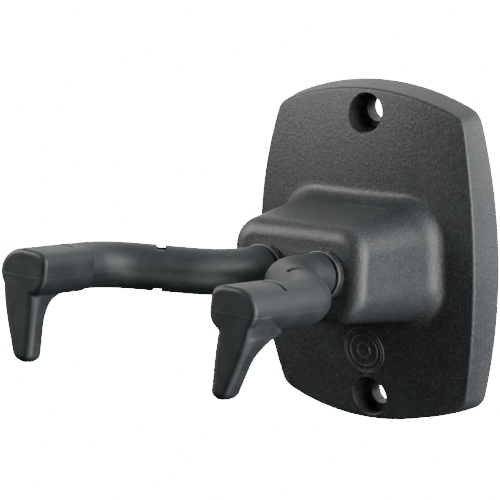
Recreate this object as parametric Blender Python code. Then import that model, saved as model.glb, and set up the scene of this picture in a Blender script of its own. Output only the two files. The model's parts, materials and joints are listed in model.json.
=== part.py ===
"""Wall-mounted guitar hanger with two swinging padded arms.

The frame has X to the right, Y into the wall and Z up.  The origin is on the wall
plane, at the centre of the base plate's back.  All lengths are in metres.

The hanger is a ribbed base moulding with a hollow housing, closed at the back by a
steel bearing plate.  Two bent steel rods turn in a flanged front bush and a rear bush,
dragged by a disc spring, and each carries a moulded rubber sleeve that ends in a
down-turned tip.  The rods lie in one plane that rises slightly away from the wall.
"""

import math

import bmesh
import bpy
from mathutils import Vector

MM = 0.001
GAP = 0.3 * MM                      # clearance between pieces that rest on each other

# Base plate: a shield of four arcs with rounded corners and a domed front
PLATE_HALF_WIDTH = 38.3 * MM
PLATE_HALF_HEIGHT = 50.3 * MM
PLATE_SIDE_ARC = 164.0 * MM
PLATE_END_ARC = 78.0 * MM
PLATE_CORNER = 5.0 * MM
PLATE_THICKNESS = 16.0 * MM         # at the centre of the dome
DOME_X = 2.8                        # loss of thickness, 1/m, times x squared
DOME_Z = 2.5
PLATE_DRAFT = 1.2 * MM              # the back outline is this much larger
PLATE_EDGE = 0.8 * MM               # edge round
WALL = 3.2 * MM                     # moulded wall

# Housing: a tapered box that flares into the plate
HOUSING_FRONT = 50.3 * MM           # from the wall, along the shafts
HOUSING_HALF_WIDTH = 23.2 * MM
HOUSING_TOP = 16.2 * MM
HOUSING_BOTTOM = -13.0 * MM
HOUSING_CORNER = 8.5 * MM
HOUSING_EDGE = 5.0 * MM
ROOT_HALF_WIDTH = 25.8 * MM         # where the flare starts
ROOT_TOP = 17.2 * MM
ROOT_BOTTOM = -17.0 * MM
ROOT_CORNER = 10.5 * MM
ROOT_HEIGHT = 20.5 * MM             # distance of that line from the wall
FLARE = 3.7 * MM                    # how far the flare spreads
STRAIGHT = 2000.0 * MM              # arc radius of a side that looks straight

# Wall screw holes
HOLE_Z = 42.95 * MM
HOLE_RADIUS = 3.5 * MM
BORE_RADIUS = 5.85 * MM
BORE_FLOOR = 4.7 * MM               # shoulder of the counterbore, from the wall
BOSS_RADIUS = 7.9 * MM
BOSS_Z = 41.2 * MM                  # nearer the middle than the hole, to stay inside the rim

# Back ribs
RIB = 2.2 * MM
RIB_PITCH = 12.6 * MM
RIM_REACH = 1.0 * MM                # how far a rib stops short of the plate's outline

# Bearing plate and its four screws
BEARING_THICKNESS = 3.0 * MM
BEARING_HALF_WIDTH = 31.6 * MM
BEARING_TOP = 18.8 * MM
BEARING_BOTTOM = -21.8 * MM
BEARING_CORNER = 3.0 * MM
SCREW_X = 27.0 * MM
SCREW_TOP_Z = 14.2 * MM
SCREW_BOTTOM_Z = -17.2 * MM
SCREW_BOSS = 4.2 * MM
SCREW_SHANK = 1.5 * MM
SCREW_HEAD = 3.0 * MM
SCREW_DEPTH = 9.5 * MM

# Shafts: the plane of both arms rises away from the wall
TILT = math.radians(6.3)
SHAFT_X = 10.4 * MM
SHAFT_WALL_Z = -3.7 * MM            # height at which the shaft plane meets the wall
COLLAR_FACE = 53.3 * MM             # outer face of the front bush, along the shaft
COLLAR_RADIUS = 7.45 * MM
SPIGOT_RADIUS = 5.6 * MM
COLLAR_CHAMFER = 0.4 * MM
SPIGOT_END = 45.8 * MM
ROD_RADIUS = 4.0 * MM
JOURNAL_RADIUS = 3.0 * MM
JOURNAL_END = 1.0 * MM
SHOULDER = 5.5 * MM                 # where the rod steps down to its rear journal
REAR_BUSH_RADIUS = 4.8 * MM
REAR_FLANGE_RADIUS = 6.5 * MM
REAR_FLANGE_FRONT = 5.2 * MM
REAR_FLANGE_BACK = 4.0 * MM
REAR_BUSH_END = 0.9 * MM

# Stack behind the front bush
WASHER_RADIUS = 7.0 * MM
WASHER_FRONT = 45.5 * MM
WASHER_THICKNESS = 1.0 * MM
SPRING_FRONT = 44.2 * MM
SPRING_THICKNESS = 0.6 * MM
SPRING_CONE = 0.5 * MM
CLIP_FRONT = 42.6 * MM
CLIP_THICKNESS = 0.9 * MM
CLIP_RADIUS = 6.4 * MM
GROOVE_RADIUS = 3.4 * MM

# Swing stops
STOP_UP = math.radians(12)          # above the arms' own plane
STOP_DOWN = math.radians(40)        # below it
PIN_RADIUS = 1.5 * MM
PIN_REACH = 9.5 * MM
PIN_TAIL = 3.4 * MM
PIN_PLACE = 30.0 * MM               # along the shaft, from the wall
STOP_LENGTH = 7.0 * MM
STOP_FLOOR = 5.5 * MM               # clearance of the stop blocks above the shaft
STOP_ROOF = 14.7 * MM               # inside the housing's roof
STOP_SIDE = 20.0 * MM               # outer end of the outer blocks
REST_SWING = math.radians(4)        # the right arm hangs, the left arm is raised, by this

# Arms, measured from the collar face: outward from the shaft, and forward
ARM_RADIUS = 6.85 * MM
ELBOW_FORWARD = 19.4 * MM
REACH_OUT = 26.8 * MM
SECOND_ELBOW_FORWARD = 41.4 * MM
ARM_END = 82.3 * MM
BEND_RADIUS = 22.0 * MM
ARM_EDGE = 1.5 * MM
ROD_END = 77.0 * MM

# End length of the sleeve: round outside, with a squarer pad on its inner side
PAD_START = 58.0 * MM
PAD_STEP = 0.5 * MM
PAD_INNER = 18.1 * MM
PAD_OUTER = 34.3 * MM
PAD_RISE = 6.95 * MM
PAD_UPPER = 4.0                     # how square its inner side is above and below the middle
PAD_LOWER = 2.5

# Down-turned tip of the sleeve
TIP_FLOOR = -25.9 * MM
TIP_INNER = 21.0 * MM
TIP_LEAN = 0.344                     # slope of its outer side
TIP_LEAN_TOP = -4.7 * MM
TIP_REAR = 74.7 * MM
TIP_CORNER = 2.4 * MM
TIP_FLARE = 9.0 * MM                # height of the flare behind it, under the sleeve
TIP_FLARE_INNER = 5.5 * MM          # how far the flare runs back on each side
TIP_FLARE_OUTER = 16.0 * MM
TIP_FLARE_BEND = 40.0 * MM          # radius on which the flare's outer side turns in under the tube
TIP_FLARE_FADE = 0.8                # share of its reach lost between the tube's underside and the top
TIP_ROUND = 2.4 * MM
TIP_TOP = -1.0 * MM
TIP_SINK = 0.1 * MM                 # its front face, behind the sleeve's end face

# Marks left in the rubber by the pins that held the rod in its mould
SLOT_WIDTH = 2.8 * MM
SLOT_DEPTH = 1.8 * MM
SLOT_SHIFT = 0.9 * MM               # from the middle of the diagonal length, towards the tip
SLIT_WIDTH = 0.9 * MM
SLIT_DEPTH = 2.0 * MM
SLIT_FORWARD = 63.2 * MM
SLOT_REACH = 3.0 * MM               # half lengths of the tools that cut them
SLIT_REACH = 4.4 * MM

ROUND_SIDES = 24
TUBE_SIDES = 18
SHARP = math.radians(35)


# ---------------------------------------------------------------- helpers


def clear_scene():
    """Remove every object that the file already holds."""
    for obj in list(bpy.data.objects):
        bpy.data.objects.remove(obj, do_unlink=True)


def material(name, colour, roughness, metallic=0.0):
    """Return a Principled material with one colour."""
    mat = bpy.data.materials.new(name)
    mat.use_nodes = True
    shader = mat.node_tree.nodes["Principled BSDF"]
    shader.inputs["Base Color"].default_value = (*colour, 1.0)
    shader.inputs["Roughness"].default_value = roughness
    shader.inputs["Metallic"].default_value = metallic
    return mat


def add_object(name, bm, mat=None, parent=None, location=(0, 0, 0), smooth=True):
    """Turn a bmesh into a named object."""
    bmesh.ops.recalc_face_normals(bm, faces=bm.faces)
    mesh = bpy.data.meshes.new(name)
    bm.to_mesh(mesh)
    bm.free()
    if smooth:
        mesh.shade_smooth()
        mesh.set_sharp_from_angle(angle=SHARP)
    if mat is not None:
        mesh.materials.append(mat)
    obj = bpy.data.objects.new(name, mesh)
    bpy.context.collection.objects.link(obj)
    obj.parent = parent
    obj.location = location
    return obj


def add_empty(name, location, rotation, parent=None):
    """Add an empty that carries pieces on its own axes."""
    empty = bpy.data.objects.new(name, None)
    bpy.context.collection.objects.link(empty)
    empty.parent = parent
    empty.location = location
    empty.rotation_euler = rotation
    return empty


def combine(obj, tools, operation):
    """Add or cut tool objects with exact booleans, and hide the tools."""
    for tool in tools:
        step = obj.modifiers.new(f"{operation.lower()} {tool.name}", "BOOLEAN")
        step.operation = operation
        step.solver = "EXACT"
        step.object = tool
        tool.hide_render = True
        tool.display_type = "WIRE"


def loft(rings, close_start=True, close_end=True):
    """Skin a list of equal rings of points into one closed bmesh."""
    bm = bmesh.new()
    loops = [[bm.verts.new(point) for point in ring] for ring in rings]
    count = len(loops[0])
    for first, second in zip(loops, loops[1:]):
        for i in range(count):
            j = (i + 1) % count
            bm.faces.new((first[i], first[j], second[j], second[i]))
    if close_start:
        bm.faces.new(loops[0])
    if close_end:
        bm.faces.new(loops[-1])
    return bm


def turned(profile, sides=ROUND_SIDES):
    """Turn (radius, y) points about the Y axis; the profile closes on itself if it has a bore."""
    rings = []
    for radius, y in profile:
        ring = []
        for i in range(sides):
            angle = 2 * math.pi * i / sides
            ring.append((radius * math.cos(angle), y, radius * math.sin(angle)))
        rings.append(ring)
    return rings


def turned_solid(profile, sides=ROUND_SIDES):
    """Solid of revolution about Y from an open profile."""
    return loft(turned(profile, sides))


def turned_ring(profile, sides=ROUND_SIDES):
    """Ring with a bore about Y: the last profile point joins the first."""
    rings = turned(profile, sides)
    return loft(rings + rings[:1], close_start=False, close_end=False)


def weld(bm):
    """Merge the doubled ring that turned_ring leaves at its seam."""
    bmesh.ops.remove_doubles(bm, verts=bm.verts, dist=0.000001)
    return bm


def box(x_range, y_range, z_range):
    """Axis-aligned box."""
    rings = []
    for z in z_range:
        rings.append([(x_range[0], y_range[0], z), (x_range[1], y_range[0], z),
                      (x_range[1], y_range[1], z), (x_range[0], y_range[1], z)])
    return loft(rings)


def arc(centre, radius, start, end, steps):
    """Points along an arc in the XZ plane, its last point left out."""
    points = []
    for i in range(steps):
        angle = start + (end - start) * i / steps
        points.append((centre[0] + radius * math.cos(angle), centre[1] + radius * math.sin(angle)))
    return points


def bulged_outline(half_width, half_height, side_arc, end_arc, corner):
    """Shield outline of four bulging sides with round corners, anticlockwise in XZ.

    Each side is an arc.  A corner's centre lies where the side's and the end's circles,
    both shrunk by the corner radius, cross.
    """
    side_centre = half_width - side_arc
    end_centre = half_height - end_arc
    side = side_arc - corner
    end = end_arc - corner
    span = math.hypot(side_centre, end_centre)
    along = (side ** 2 - end ** 2 + span ** 2) / (2 * span)
    off = math.sqrt(side ** 2 - along ** 2)
    ux, uz = -side_centre / span, end_centre / span
    x = side_centre + along * ux - off * uz
    z = along * uz + off * ux
    side_angle = math.atan2(z, x - side_centre)
    end_angle = math.atan2(z - end_centre, x)
    quarter = arc((side_centre, 0), side_arc, 0, side_angle, 3)
    quarter += arc((x, z), corner, side_angle, end_angle, 4)
    quarter += arc((0, end_centre), end_arc, end_angle, math.pi / 2, 4)
    quarter.append((0, half_height))
    left = [(-px, pz) for px, pz in reversed(quarter[:-1])]
    upper = quarter + left
    lower = [(px, -pz) for px, pz in reversed(upper[1:-1])]
    return upper + lower


def dome(x, z):
    """Height of the plate's front above the wall."""
    return PLATE_THICKNESS - DOME_X * x * x - DOME_Z * z * z


# ---------------------------------------------------------------- base moulding



def plate_outline(grow):
    """Plate outline, grown by a distance."""
    return bulged_outline(PLATE_HALF_WIDTH + grow, PLATE_HALF_HEIGHT + grow,
                          PLATE_SIDE_ARC + grow, PLATE_END_ARC + grow, PLATE_CORNER + grow)


def housing_outline(share, grow):
    """Housing outline between its front (share 0) and its root (share 1), grown by a distance."""
    half = HOUSING_HALF_WIDTH + (ROOT_HALF_WIDTH - HOUSING_HALF_WIDTH) * share + grow
    top = HOUSING_TOP + (ROOT_TOP - HOUSING_TOP) * share + grow
    bottom = HOUSING_BOTTOM + (ROOT_BOTTOM - HOUSING_BOTTOM) * share - grow
    middle = (top + bottom) / 2
    corner = HOUSING_CORNER + (ROOT_CORNER - HOUSING_CORNER) * share + grow
    points = bulged_outline(half, (top - bottom) / 2, STRAIGHT, STRAIGHT, corner)
    return [(x, z + middle) for x, z in points]


def front_plane(z, depth):
    """Y of the housing's front face at height z, moved back by a depth: it faces along the shafts."""
    along = (HOUSING_FRONT - depth) / math.cos(TILT)
    return -along + (z - SHAFT_WALL_Z) * math.tan(TILT)


def housing_rings(offset, edge, spread, floor):
    """Rings from the front face down to the plate; offset moves the skin inwards."""
    rings = []
    for angle in (0, 30, 60, 90):
        inset = edge * (1 - math.sin(math.radians(angle)))
        drop = edge * (1 - math.cos(math.radians(angle)))
        outline = housing_outline(0, -offset - inset)
        rings.append([(x, front_plane(z, offset + drop), z) for x, z in outline])
    for angle in (0, 30, 60, 90):
        grow = spread * (1 - math.cos(math.radians(angle)))
        sink = math.sin(math.radians(angle))
        ring = []
        for x, z in housing_outline(1, grow - offset):
            base = dome(x, z) - floor
            ring.append((x, -(ROOT_HEIGHT + (base - ROOT_HEIGHT) * sink), z))
        rings.append(ring)
    return rings


def blend_rings(inner, outer, shares, drop):
    """Rings on the dome between two outlines."""
    rings = []
    for share in shares:
        ring = []
        for (x0, z0), (x1, z1) in zip(inner, outer):
            x, z = x0 + (x1 - x0) * share, z0 + (z1 - z0) * share
            ring.append((x, drop - dome(x, z), z))
        rings.append(ring)
    return rings


def shell():
    """Closed skin of the moulding: outside from the front face to the rim, then back up inside."""
    rings = housing_rings(0, HOUSING_EDGE, FLARE, 0)
    rings += blend_rings(housing_outline(1, FLARE), plate_outline(-PLATE_EDGE), (0.35, 0.7, 1), 0)
    for angle in (45, 90):
        grow = -PLATE_EDGE * (1 - math.sin(math.radians(angle)))
        drop = PLATE_EDGE * (1 - math.cos(math.radians(angle)))
        rings.append([(x, drop - dome(x, z), z) for x, z in plate_outline(grow)])
    rings.append([(x, 0, z) for x, z in plate_outline(PLATE_DRAFT)])
    rings.append([(x, 0, z) for x, z in plate_outline(PLATE_DRAFT - WALL)])
    inside = blend_rings(housing_outline(1, -WALL), plate_outline(-WALL), (1, 0.6, 0.25), WALL)
    inner_housing = housing_rings(WALL, 0, 0, WALL)
    return loft(rings + inside + [inner_housing[-1], inner_housing[4], inner_housing[0]])


def rib(name, start, end):
    """Back rib between two XZ points; its front edge ends inside the plate's wall."""
    (x0, z0), (x1, z1) = start, end
    length = math.hypot(x1 - x0, z1 - z0)
    nx, nz = -(z1 - z0) / length * RIB / 2, (x1 - x0) / length * RIB / 2
    rings = []
    for x, z in (start, end):
        top = WALL / 2 - dome(x, z)
        rings.append([(x - nx, 0, z - nz), (x + nx, 0, z + nz), (x + nx, top, z + nz), (x - nx, top, z - nz)])
    return add_object(name, loft(rings))


def boss(name, x, z, radius, base, sides):
    """Round boss from a height above the wall up into the plate's wall."""
    rings = []
    for into_plate in (False, True):
        ring = []
        for px, pz in arc((x, z), radius, 0, 2 * math.pi, sides):
            ring.append((px, WALL / 2 - dome(px, pz) if into_plate else -base, pz))
        rings.append(ring)
    return add_object(name, loft(rings))


def back_ribs():
    """Ribs that carry the plate between its rim, the screw bosses and the housing."""
    ribs = []
    for side, place, clear in ((1, "upper", BEARING_TOP), (-1, "lower", -BEARING_BOTTOM)):
        first = (clear + GAP) * side
        ribs.append(rib(f"rib_{place}_middle", (0, first), (0, HOLE_Z * side)))
        for x in (-2, -1, 1, 2):
            reach = PLATE_HALF_HEIGHT - RIM_REACH - (RIB_PITCH * x) ** 2 / (2 * PLATE_END_ARC)
            ribs.append(rib(f"rib_{place}_{x}", (RIB_PITCH * x, first), (RIB_PITCH * x, reach * side)))
    for x in (-1, 1):
        for z in (SCREW_TOP_Z, SCREW_BOTTOM_Z):
            start = ((BEARING_HALF_WIDTH + GAP) * x, z)
            ribs.append(rib(f"rib_side_{x}_{z:.3f}", start, ((PLATE_HALF_WIDTH - RIM_REACH) * x, z)))
    return ribs


def stop_blocks(frame):
    """Blocks under the housing roof that the stop pins meet."""
    pin_swing = (STOP_UP + STOP_DOWN) / 2
    side = PIN_REACH * math.sin(pin_swing) + PIN_RADIUS * math.cos(pin_swing) + GAP
    y_range = (-PIN_PLACE - STOP_LENGTH / 2, -PIN_PLACE + STOP_LENGTH / 2)
    z_range = (STOP_FLOOR, STOP_ROOF)
    inner = SHAFT_X - side
    outer = SHAFT_X + side
    spans = {"middle": (-inner, inner), "right": (outer, STOP_SIDE), "left": (-STOP_SIDE, -outer)}
    return [add_object(f"stop_{name}", box(span, y_range, z_range), parent=frame)
            for name, span in spans.items()]


def base_moulding(mat, frame):
    """The one-piece moulding: plate, housing, ribs, bosses, holes."""
    base = add_object("base_moulding", shell(), mat)
    additions = back_ribs() + stop_blocks(frame)
    cuts = []
    for side, place in ((1, "upper"), (-1, "lower")):
        additions.append(boss(f"{place}_boss", 0, BOSS_Z * side, BOSS_RADIUS, 0, ROUND_SIDES))
        bore = turned_solid([(BORE_RADIUS, -BORE_FLOOR), (BORE_RADIUS, -20 * MM)])
        cuts.append(add_object(f"{place}_counterbore", bore, location=(0, 0, HOLE_Z * side)))
        hole = turned_solid([(HOLE_RADIUS, 2 * MM), (HOLE_RADIUS, -20 * MM)])
        cuts.append(add_object(f"{place}_hole", hole, location=(0, 0, HOLE_Z * side)))
    for x, z in screw_places():
        name = f"screw_boss_{x:.3f}_{z:.3f}"
        additions.append(boss(name, x, z, SCREW_BOSS, BEARING_THICKNESS + GAP, 16))
        pilot = turned_solid([(SCREW_SHANK + GAP, 1 * MM), (SCREW_SHANK + GAP, -SCREW_DEPTH - GAP)], 12)
        cuts.append(add_object(f"pilot_{x:.3f}_{z:.3f}", pilot, location=(x, 0, z)))
    for x in (-SHAFT_X, SHAFT_X):
        hole = turned_solid([(SPIGOT_RADIUS + GAP, -SPIGOT_END + 3 * MM), (SPIGOT_RADIUS + GAP, -COLLAR_FACE - 2 * MM)])
        cuts.append(add_object(f"front_hole_{x:.3f}", hole, parent=frame, location=(x, 0, 0)))
    combine(base, additions, "UNION")
    combine(base, cuts, "DIFFERENCE")
    return base


# ---------------------------------------------------------------- bearing plate


def screw_places():
    """XZ places of the bearing plate's screws."""
    return [(x, z) for x in (-SCREW_X, SCREW_X) for z in (SCREW_TOP_Z, SCREW_BOTTOM_Z)]


def screw_profile(grow):
    """Countersunk head and shank as (radius, y), grown on every side."""
    head_depth = SCREW_HEAD - SCREW_SHANK
    return [(SCREW_HEAD + grow, -0.1 * MM + grow), (SCREW_HEAD + grow, -0.4 * MM),
            (SCREW_SHANK + grow, -0.4 * MM - head_depth), (SCREW_SHANK + grow, -SCREW_DEPTH)]


def bearing_plate(mat):
    """Steel plate that closes the housing and carries the rear bushes."""
    middle = (BEARING_TOP + BEARING_BOTTOM) / 2
    half = (BEARING_TOP - BEARING_BOTTOM) / 2
    outline = bulged_outline(BEARING_HALF_WIDTH, half, STRAIGHT, STRAIGHT, BEARING_CORNER)
    rings = [[(x, y, z + middle) for x, z in outline] for y in (0, -BEARING_THICKNESS)]
    plate = add_object("bearing_plate", loft(rings), mat)
    cuts = []
    for x in (-SHAFT_X, SHAFT_X):
        hole = turned_solid([(REAR_BUSH_RADIUS + 0.5 * MM, 1 * MM), (REAR_BUSH_RADIUS + 0.5 * MM, -8 * MM)])
        height = SHAFT_WALL_Z + BEARING_THICKNESS / 2 * math.tan(TILT)
        cuts.append(add_object(f"bush_hole_{x:.3f}", hole, location=(x, 0, height)))
    for x, z in screw_places():
        sink = turned_solid([(SCREW_HEAD + GAP, 1 * MM)] + screw_profile(GAP)[1:], 16)
        cuts.append(add_object(f"countersink_{x:.3f}_{z:.3f}", sink, location=(x, 0, z)))
    combine(plate, cuts, "DIFFERENCE")
    return plate


def bearing_screws(mat):
    """Four countersunk screws, flush with the wall side of the bearing plate."""
    names = ("left_upper", "left_lower", "right_upper", "right_lower")
    for name, (x, z) in zip(names, screw_places()):
        add_object(f"bearing_screw_{name}", turned_solid(screw_profile(0), 16), mat, location=(x, 0, z))


# ---------------------------------------------------------------- bearings on each shaft


def front_bush(name, mat, frame, x):
    """Flanged bush: its flange is the collar seen in front of the housing."""
    bore = ROD_RADIUS + GAP
    profile = [(bore, -COLLAR_FACE), (COLLAR_RADIUS - COLLAR_CHAMFER, -COLLAR_FACE),
               (COLLAR_RADIUS, -COLLAR_FACE + COLLAR_CHAMFER), (COLLAR_RADIUS, -HOUSING_FRONT - GAP),
               (SPIGOT_RADIUS, -HOUSING_FRONT - GAP), (SPIGOT_RADIUS, -SPIGOT_END), (bore, -SPIGOT_END)]
    return add_object(name, weld(turned_ring(profile)), mat, frame, (x, 0, 0))


def rear_bush(name, mat, frame, x):
    """Flanged bush in the bearing plate that holds the rod's journal."""
    bore = JOURNAL_RADIUS + GAP
    profile = [(bore, -REAR_FLANGE_FRONT), (REAR_FLANGE_RADIUS, -REAR_FLANGE_FRONT),
               (REAR_FLANGE_RADIUS, -REAR_FLANGE_BACK), (REAR_BUSH_RADIUS, -REAR_FLANGE_BACK),
               (REAR_BUSH_RADIUS, -REAR_BUSH_END), (bore, -REAR_BUSH_END)]
    return add_object(name, weld(turned_ring(profile)), mat, frame, (x, 0, 0))


def thrust_washer(name, mat, frame, x):
    """Flat washer behind the front bush."""
    bore = ROD_RADIUS + GAP
    back = WASHER_FRONT - WASHER_THICKNESS
    profile = [(bore, -WASHER_FRONT), (WASHER_RADIUS, -WASHER_FRONT), (WASHER_RADIUS, -back), (bore, -back)]
    return add_object(name, weld(turned_ring(profile)), mat, frame, (x, 0, 0))


def disc_spring(name, mat, frame, x):
    """Coned washer whose push gives the arm its drag."""
    bore = ROD_RADIUS + GAP
    profile = [(bore, -SPRING_FRONT + SPRING_CONE), (WASHER_RADIUS, -SPRING_FRONT),
               (WASHER_RADIUS, -SPRING_FRONT + SPRING_THICKNESS),
               (bore, -SPRING_FRONT + SPRING_CONE + SPRING_THICKNESS)]
    return add_object(name, weld(turned_ring(profile)), mat, frame, (x, 0, 0))


# ---------------------------------------------------------------- arms


def arm_path(start, end, bend_steps):
    """Centre line of an arm as (outward, forward) points, with round elbows.

    start and end are distances forward of the collar face.
    """
    corners = [(0, start), (0, ELBOW_FORWARD), (REACH_OUT, SECOND_ELBOW_FORWARD), (REACH_OUT, end)]
    points = [Vector(corners[0])]
    for before, corner, after in zip(corners, corners[1:], corners[2:]):
        corner = Vector(corner)
        back = (Vector(before) - corner).normalized()
        ahead = (Vector(after) - corner).normalized()
        half = back.angle(ahead) / 2
        centre = corner + (back + ahead).normalized() * (BEND_RADIUS / math.sin(half))
        first = corner + back * (BEND_RADIUS / math.tan(half)) - centre
        last = corner + ahead * (BEND_RADIUS / math.tan(half)) - centre
        turn = first.angle_signed(last)
        for step in range(bend_steps + 1):
            angle = -turn * step / bend_steps
            points.append(centre + Vector((first.x * math.cos(angle) - first.y * math.sin(angle),
                                           first.x * math.sin(angle) + first.y * math.cos(angle))))
    points.append(Vector(corners[-1]))
    return points


def sweep(stations, hand, sides):
    """Rings of a round section along (centre, direction, radius) stations in the arm's plane."""
    rings = []
    for centre, direction, radius in stations:
        side = Vector((direction.y, -direction.x))
        ring = []
        for i in range(sides):
            angle = 2 * math.pi * i / sides
            out = centre + side * (radius * math.cos(angle))
            ring.append((out.x * hand, -COLLAR_FACE - out.y, radius * math.sin(angle)))
        rings.append(ring)
    return rings


def path_stations(points, radius):
    """Stations with the mean direction at each inner point."""
    stations = []
    for i, point in enumerate(points):
        before = points[max(i - 1, 0)]
        after = points[min(i + 1, len(points) - 1)]
        stations.append((point, (after - before).normalized(), radius))
    return stations


def arm_rod(name, mat, axis, hand):
    """Bent steel rod: journal, groove for the clip, hole for the stop pin, and the padded length."""
    ahead = Vector((0, 1))
    straight = [(JOURNAL_END, JOURNAL_RADIUS), (SHOULDER, JOURNAL_RADIUS), (SHOULDER, ROD_RADIUS),
                (CLIP_FRONT - CLIP_THICKNESS - GAP, ROD_RADIUS),
                (CLIP_FRONT - CLIP_THICKNESS - GAP, GROOVE_RADIUS),
                (CLIP_FRONT + GAP, GROOVE_RADIUS), (CLIP_FRONT + GAP, ROD_RADIUS)]
    stations = [(Vector((0, place - COLLAR_FACE)), ahead, radius) for place, radius in straight]
    stations += path_stations(arm_path(0, ROD_END, 5), ROD_RADIUS)
    rod = add_object(name, loft(sweep(stations, hand, 16)), mat, axis)
    hole = turned_solid([(PIN_RADIUS + GAP, -12 * MM), (PIN_RADIUS + GAP, 12 * MM)], 12)
    cutter = add_object(f"{name}_pin_hole", hole, parent=axis, location=(0, -PIN_PLACE, 0))
    cutter.rotation_euler = pin_rotation(hand)
    combine(rod, [cutter], "DIFFERENCE")
    return rod


def pin_rotation(hand):
    """Turn that stands a Y-axis piece up, square to the shaft, at the middle of the swing."""
    return (math.pi / 2, -hand * (STOP_DOWN - STOP_UP) / 2, 0)


def stop_pin(name, mat, axis, hand):
    """Cross pin whose end meets the stop blocks."""
    pin = turned_solid([(PIN_RADIUS, -PIN_TAIL), (PIN_RADIUS, PIN_REACH)], 12)
    obj = add_object(name, pin, mat, axis, (0, -PIN_PLACE, 0))
    obj.rotation_euler = pin_rotation(hand)
    return obj


def retaining_clip(name, mat, axis):
    """Open spring clip in the rod's groove."""
    opening = math.radians(35)
    outline = []
    for radius, start, end in ((CLIP_RADIUS, opening, 2 * math.pi - opening),
                               (GROOVE_RADIUS + GAP, 2 * math.pi - opening, opening)):
        for i in range(15):
            angle = start + (end - start) * i / 14 - math.pi / 2
            outline.append((radius * math.cos(angle), radius * math.sin(angle)))
    rings = [[(x, y, z) for x, z in outline] for y in (-CLIP_FRONT, -CLIP_FRONT + CLIP_THICKNESS)]
    return add_object(name, loft(rings), mat, axis)


def pad_ring(forward, inset, hand):
    """Slice of the sleeve's end length: round and widening outside, superelliptic inside."""
    ring = []
    for i in range(TUBE_SIDES):
        angle = 2 * math.pi * i / TUBE_SIDES
        c, s = math.cos(angle), math.sin(angle)
        if c >= 0:
            share = min((forward - PAD_START) / (ARM_END - ARM_EDGE - PAD_START), 1)
            out = (ARM_RADIUS + (PAD_OUTER - REACH_OUT - ARM_RADIUS) * share - inset) * c
        else:
            power = 2 / (PAD_UPPER if s > 0 else PAD_LOWER)
            out = -(REACH_OUT - PAD_INNER - inset) * abs(c) ** power
            s = math.copysign(abs(s) ** power, s)
        ring.append(((REACH_OUT + out) * hand, -COLLAR_FACE - forward, s * (PAD_RISE - inset)))
    return ring


def tip_outer(height):
    """Outward place of the tip's outer side: upright above, leaning in below."""
    below = (TIP_LEAN_TOP - height) / MM
    return PAD_OUTER - TIP_LEAN * math.log1p(math.exp(below)) * MM


def tip_section(height, inset, hand):
    """Four-sided slice of the tip with round corners; its rear spreads back towards the sleeve."""
    inner, outer = TIP_INNER + inset, tip_outer(height) - inset
    rear, front = TIP_REAR + inset, ARM_END - TIP_SINK - inset
    corner = min(TIP_CORNER, 0.49 * (front - rear))
    rise = min(max(height + ARM_RADIUS + TIP_FLARE, 0), TIP_FLARE) / TIP_FLARE
    spread = 1 - math.sqrt(1 - rise ** 2)
    spread *= 1 - TIP_FLARE_FADE * max(height + ARM_RADIUS, 0) / (TIP_TOP + ARM_RADIUS)
    ring = []
    for quarter, (x, y) in enumerate(((outer - corner, front - corner), (inner + corner, front - corner),
                                      (inner + corner, rear + corner), (outer - corner, rear + corner))):
        for step in range(4):
            angle = math.radians(90 * quarter + 30 * step)
            out, forward = x + corner * math.cos(angle), y + corner * math.sin(angle)
            share = (out - inner) / (outer - inner)
            flare = TIP_FLARE_INNER + (TIP_FLARE_OUTER - TIP_FLARE_INNER) * share
            back = flare * spread * (front - forward) / (front - rear)
            forward -= back
            out -= share * back ** 2 / (2 * TIP_FLARE_BEND)
            ring.append((out * hand, -COLLAR_FACE - forward, height))
    return ring


def tip_body(hand):
    """Down-turned tip, from inside the tube to a rounded bottom."""
    flare_start = -ARM_RADIUS - TIP_FLARE
    heights = [TIP_TOP, -ARM_RADIUS]
    heights += [-ARM_RADIUS - TIP_FLARE * share for share in (0.12, 0.3, 0.55)] + [flare_start]
    heights.append(TIP_FLOOR + TIP_ROUND)
    rings = [tip_section(height, 0, hand) for height in heights]
    for angle in (30, 60, 85):
        turn = math.radians(angle)
        height = TIP_FLOOR + TIP_ROUND * (1 - math.sin(turn))
        rings.append(tip_section(height, TIP_ROUND * (1 - math.cos(turn)), hand))
    return loft(rings)


def arm_sleeve(name, mat, axis, hand):
    """Rubber sleeve moulded over the rod, closed at its end and turned down into the tip."""
    rings = sweep(path_stations(arm_path(GAP, PAD_START - PAD_STEP, 6), ARM_RADIUS), hand, TUBE_SIDES)
    rings += [pad_ring(place, 0, hand) for place in (PAD_START, ARM_END - ARM_EDGE)]
    for angle in (35, 65, 90):
        turn = math.radians(angle)
        place = ARM_END - ARM_EDGE * (1 - math.sin(turn))
        rings.append(pad_ring(place, ARM_EDGE * (1 - math.cos(turn)), hand))
    sleeve = add_object(name, loft(rings), mat, axis)
    tip = add_object(f"{name}_tip", tip_body(hand), parent=axis)
    bore_path = path_stations(arm_path(-2 * MM, ROD_END + GAP, 5), ROD_RADIUS + GAP)
    bore = add_object(f"{name}_bore", loft(sweep(bore_path, hand, TUBE_SIDES)), parent=axis)
    combine(sleeve, [tip], "UNION")
    combine(sleeve, [bore] + sleeve_marks(name, axis, hand), "DIFFERENCE")
    return sleeve


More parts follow.
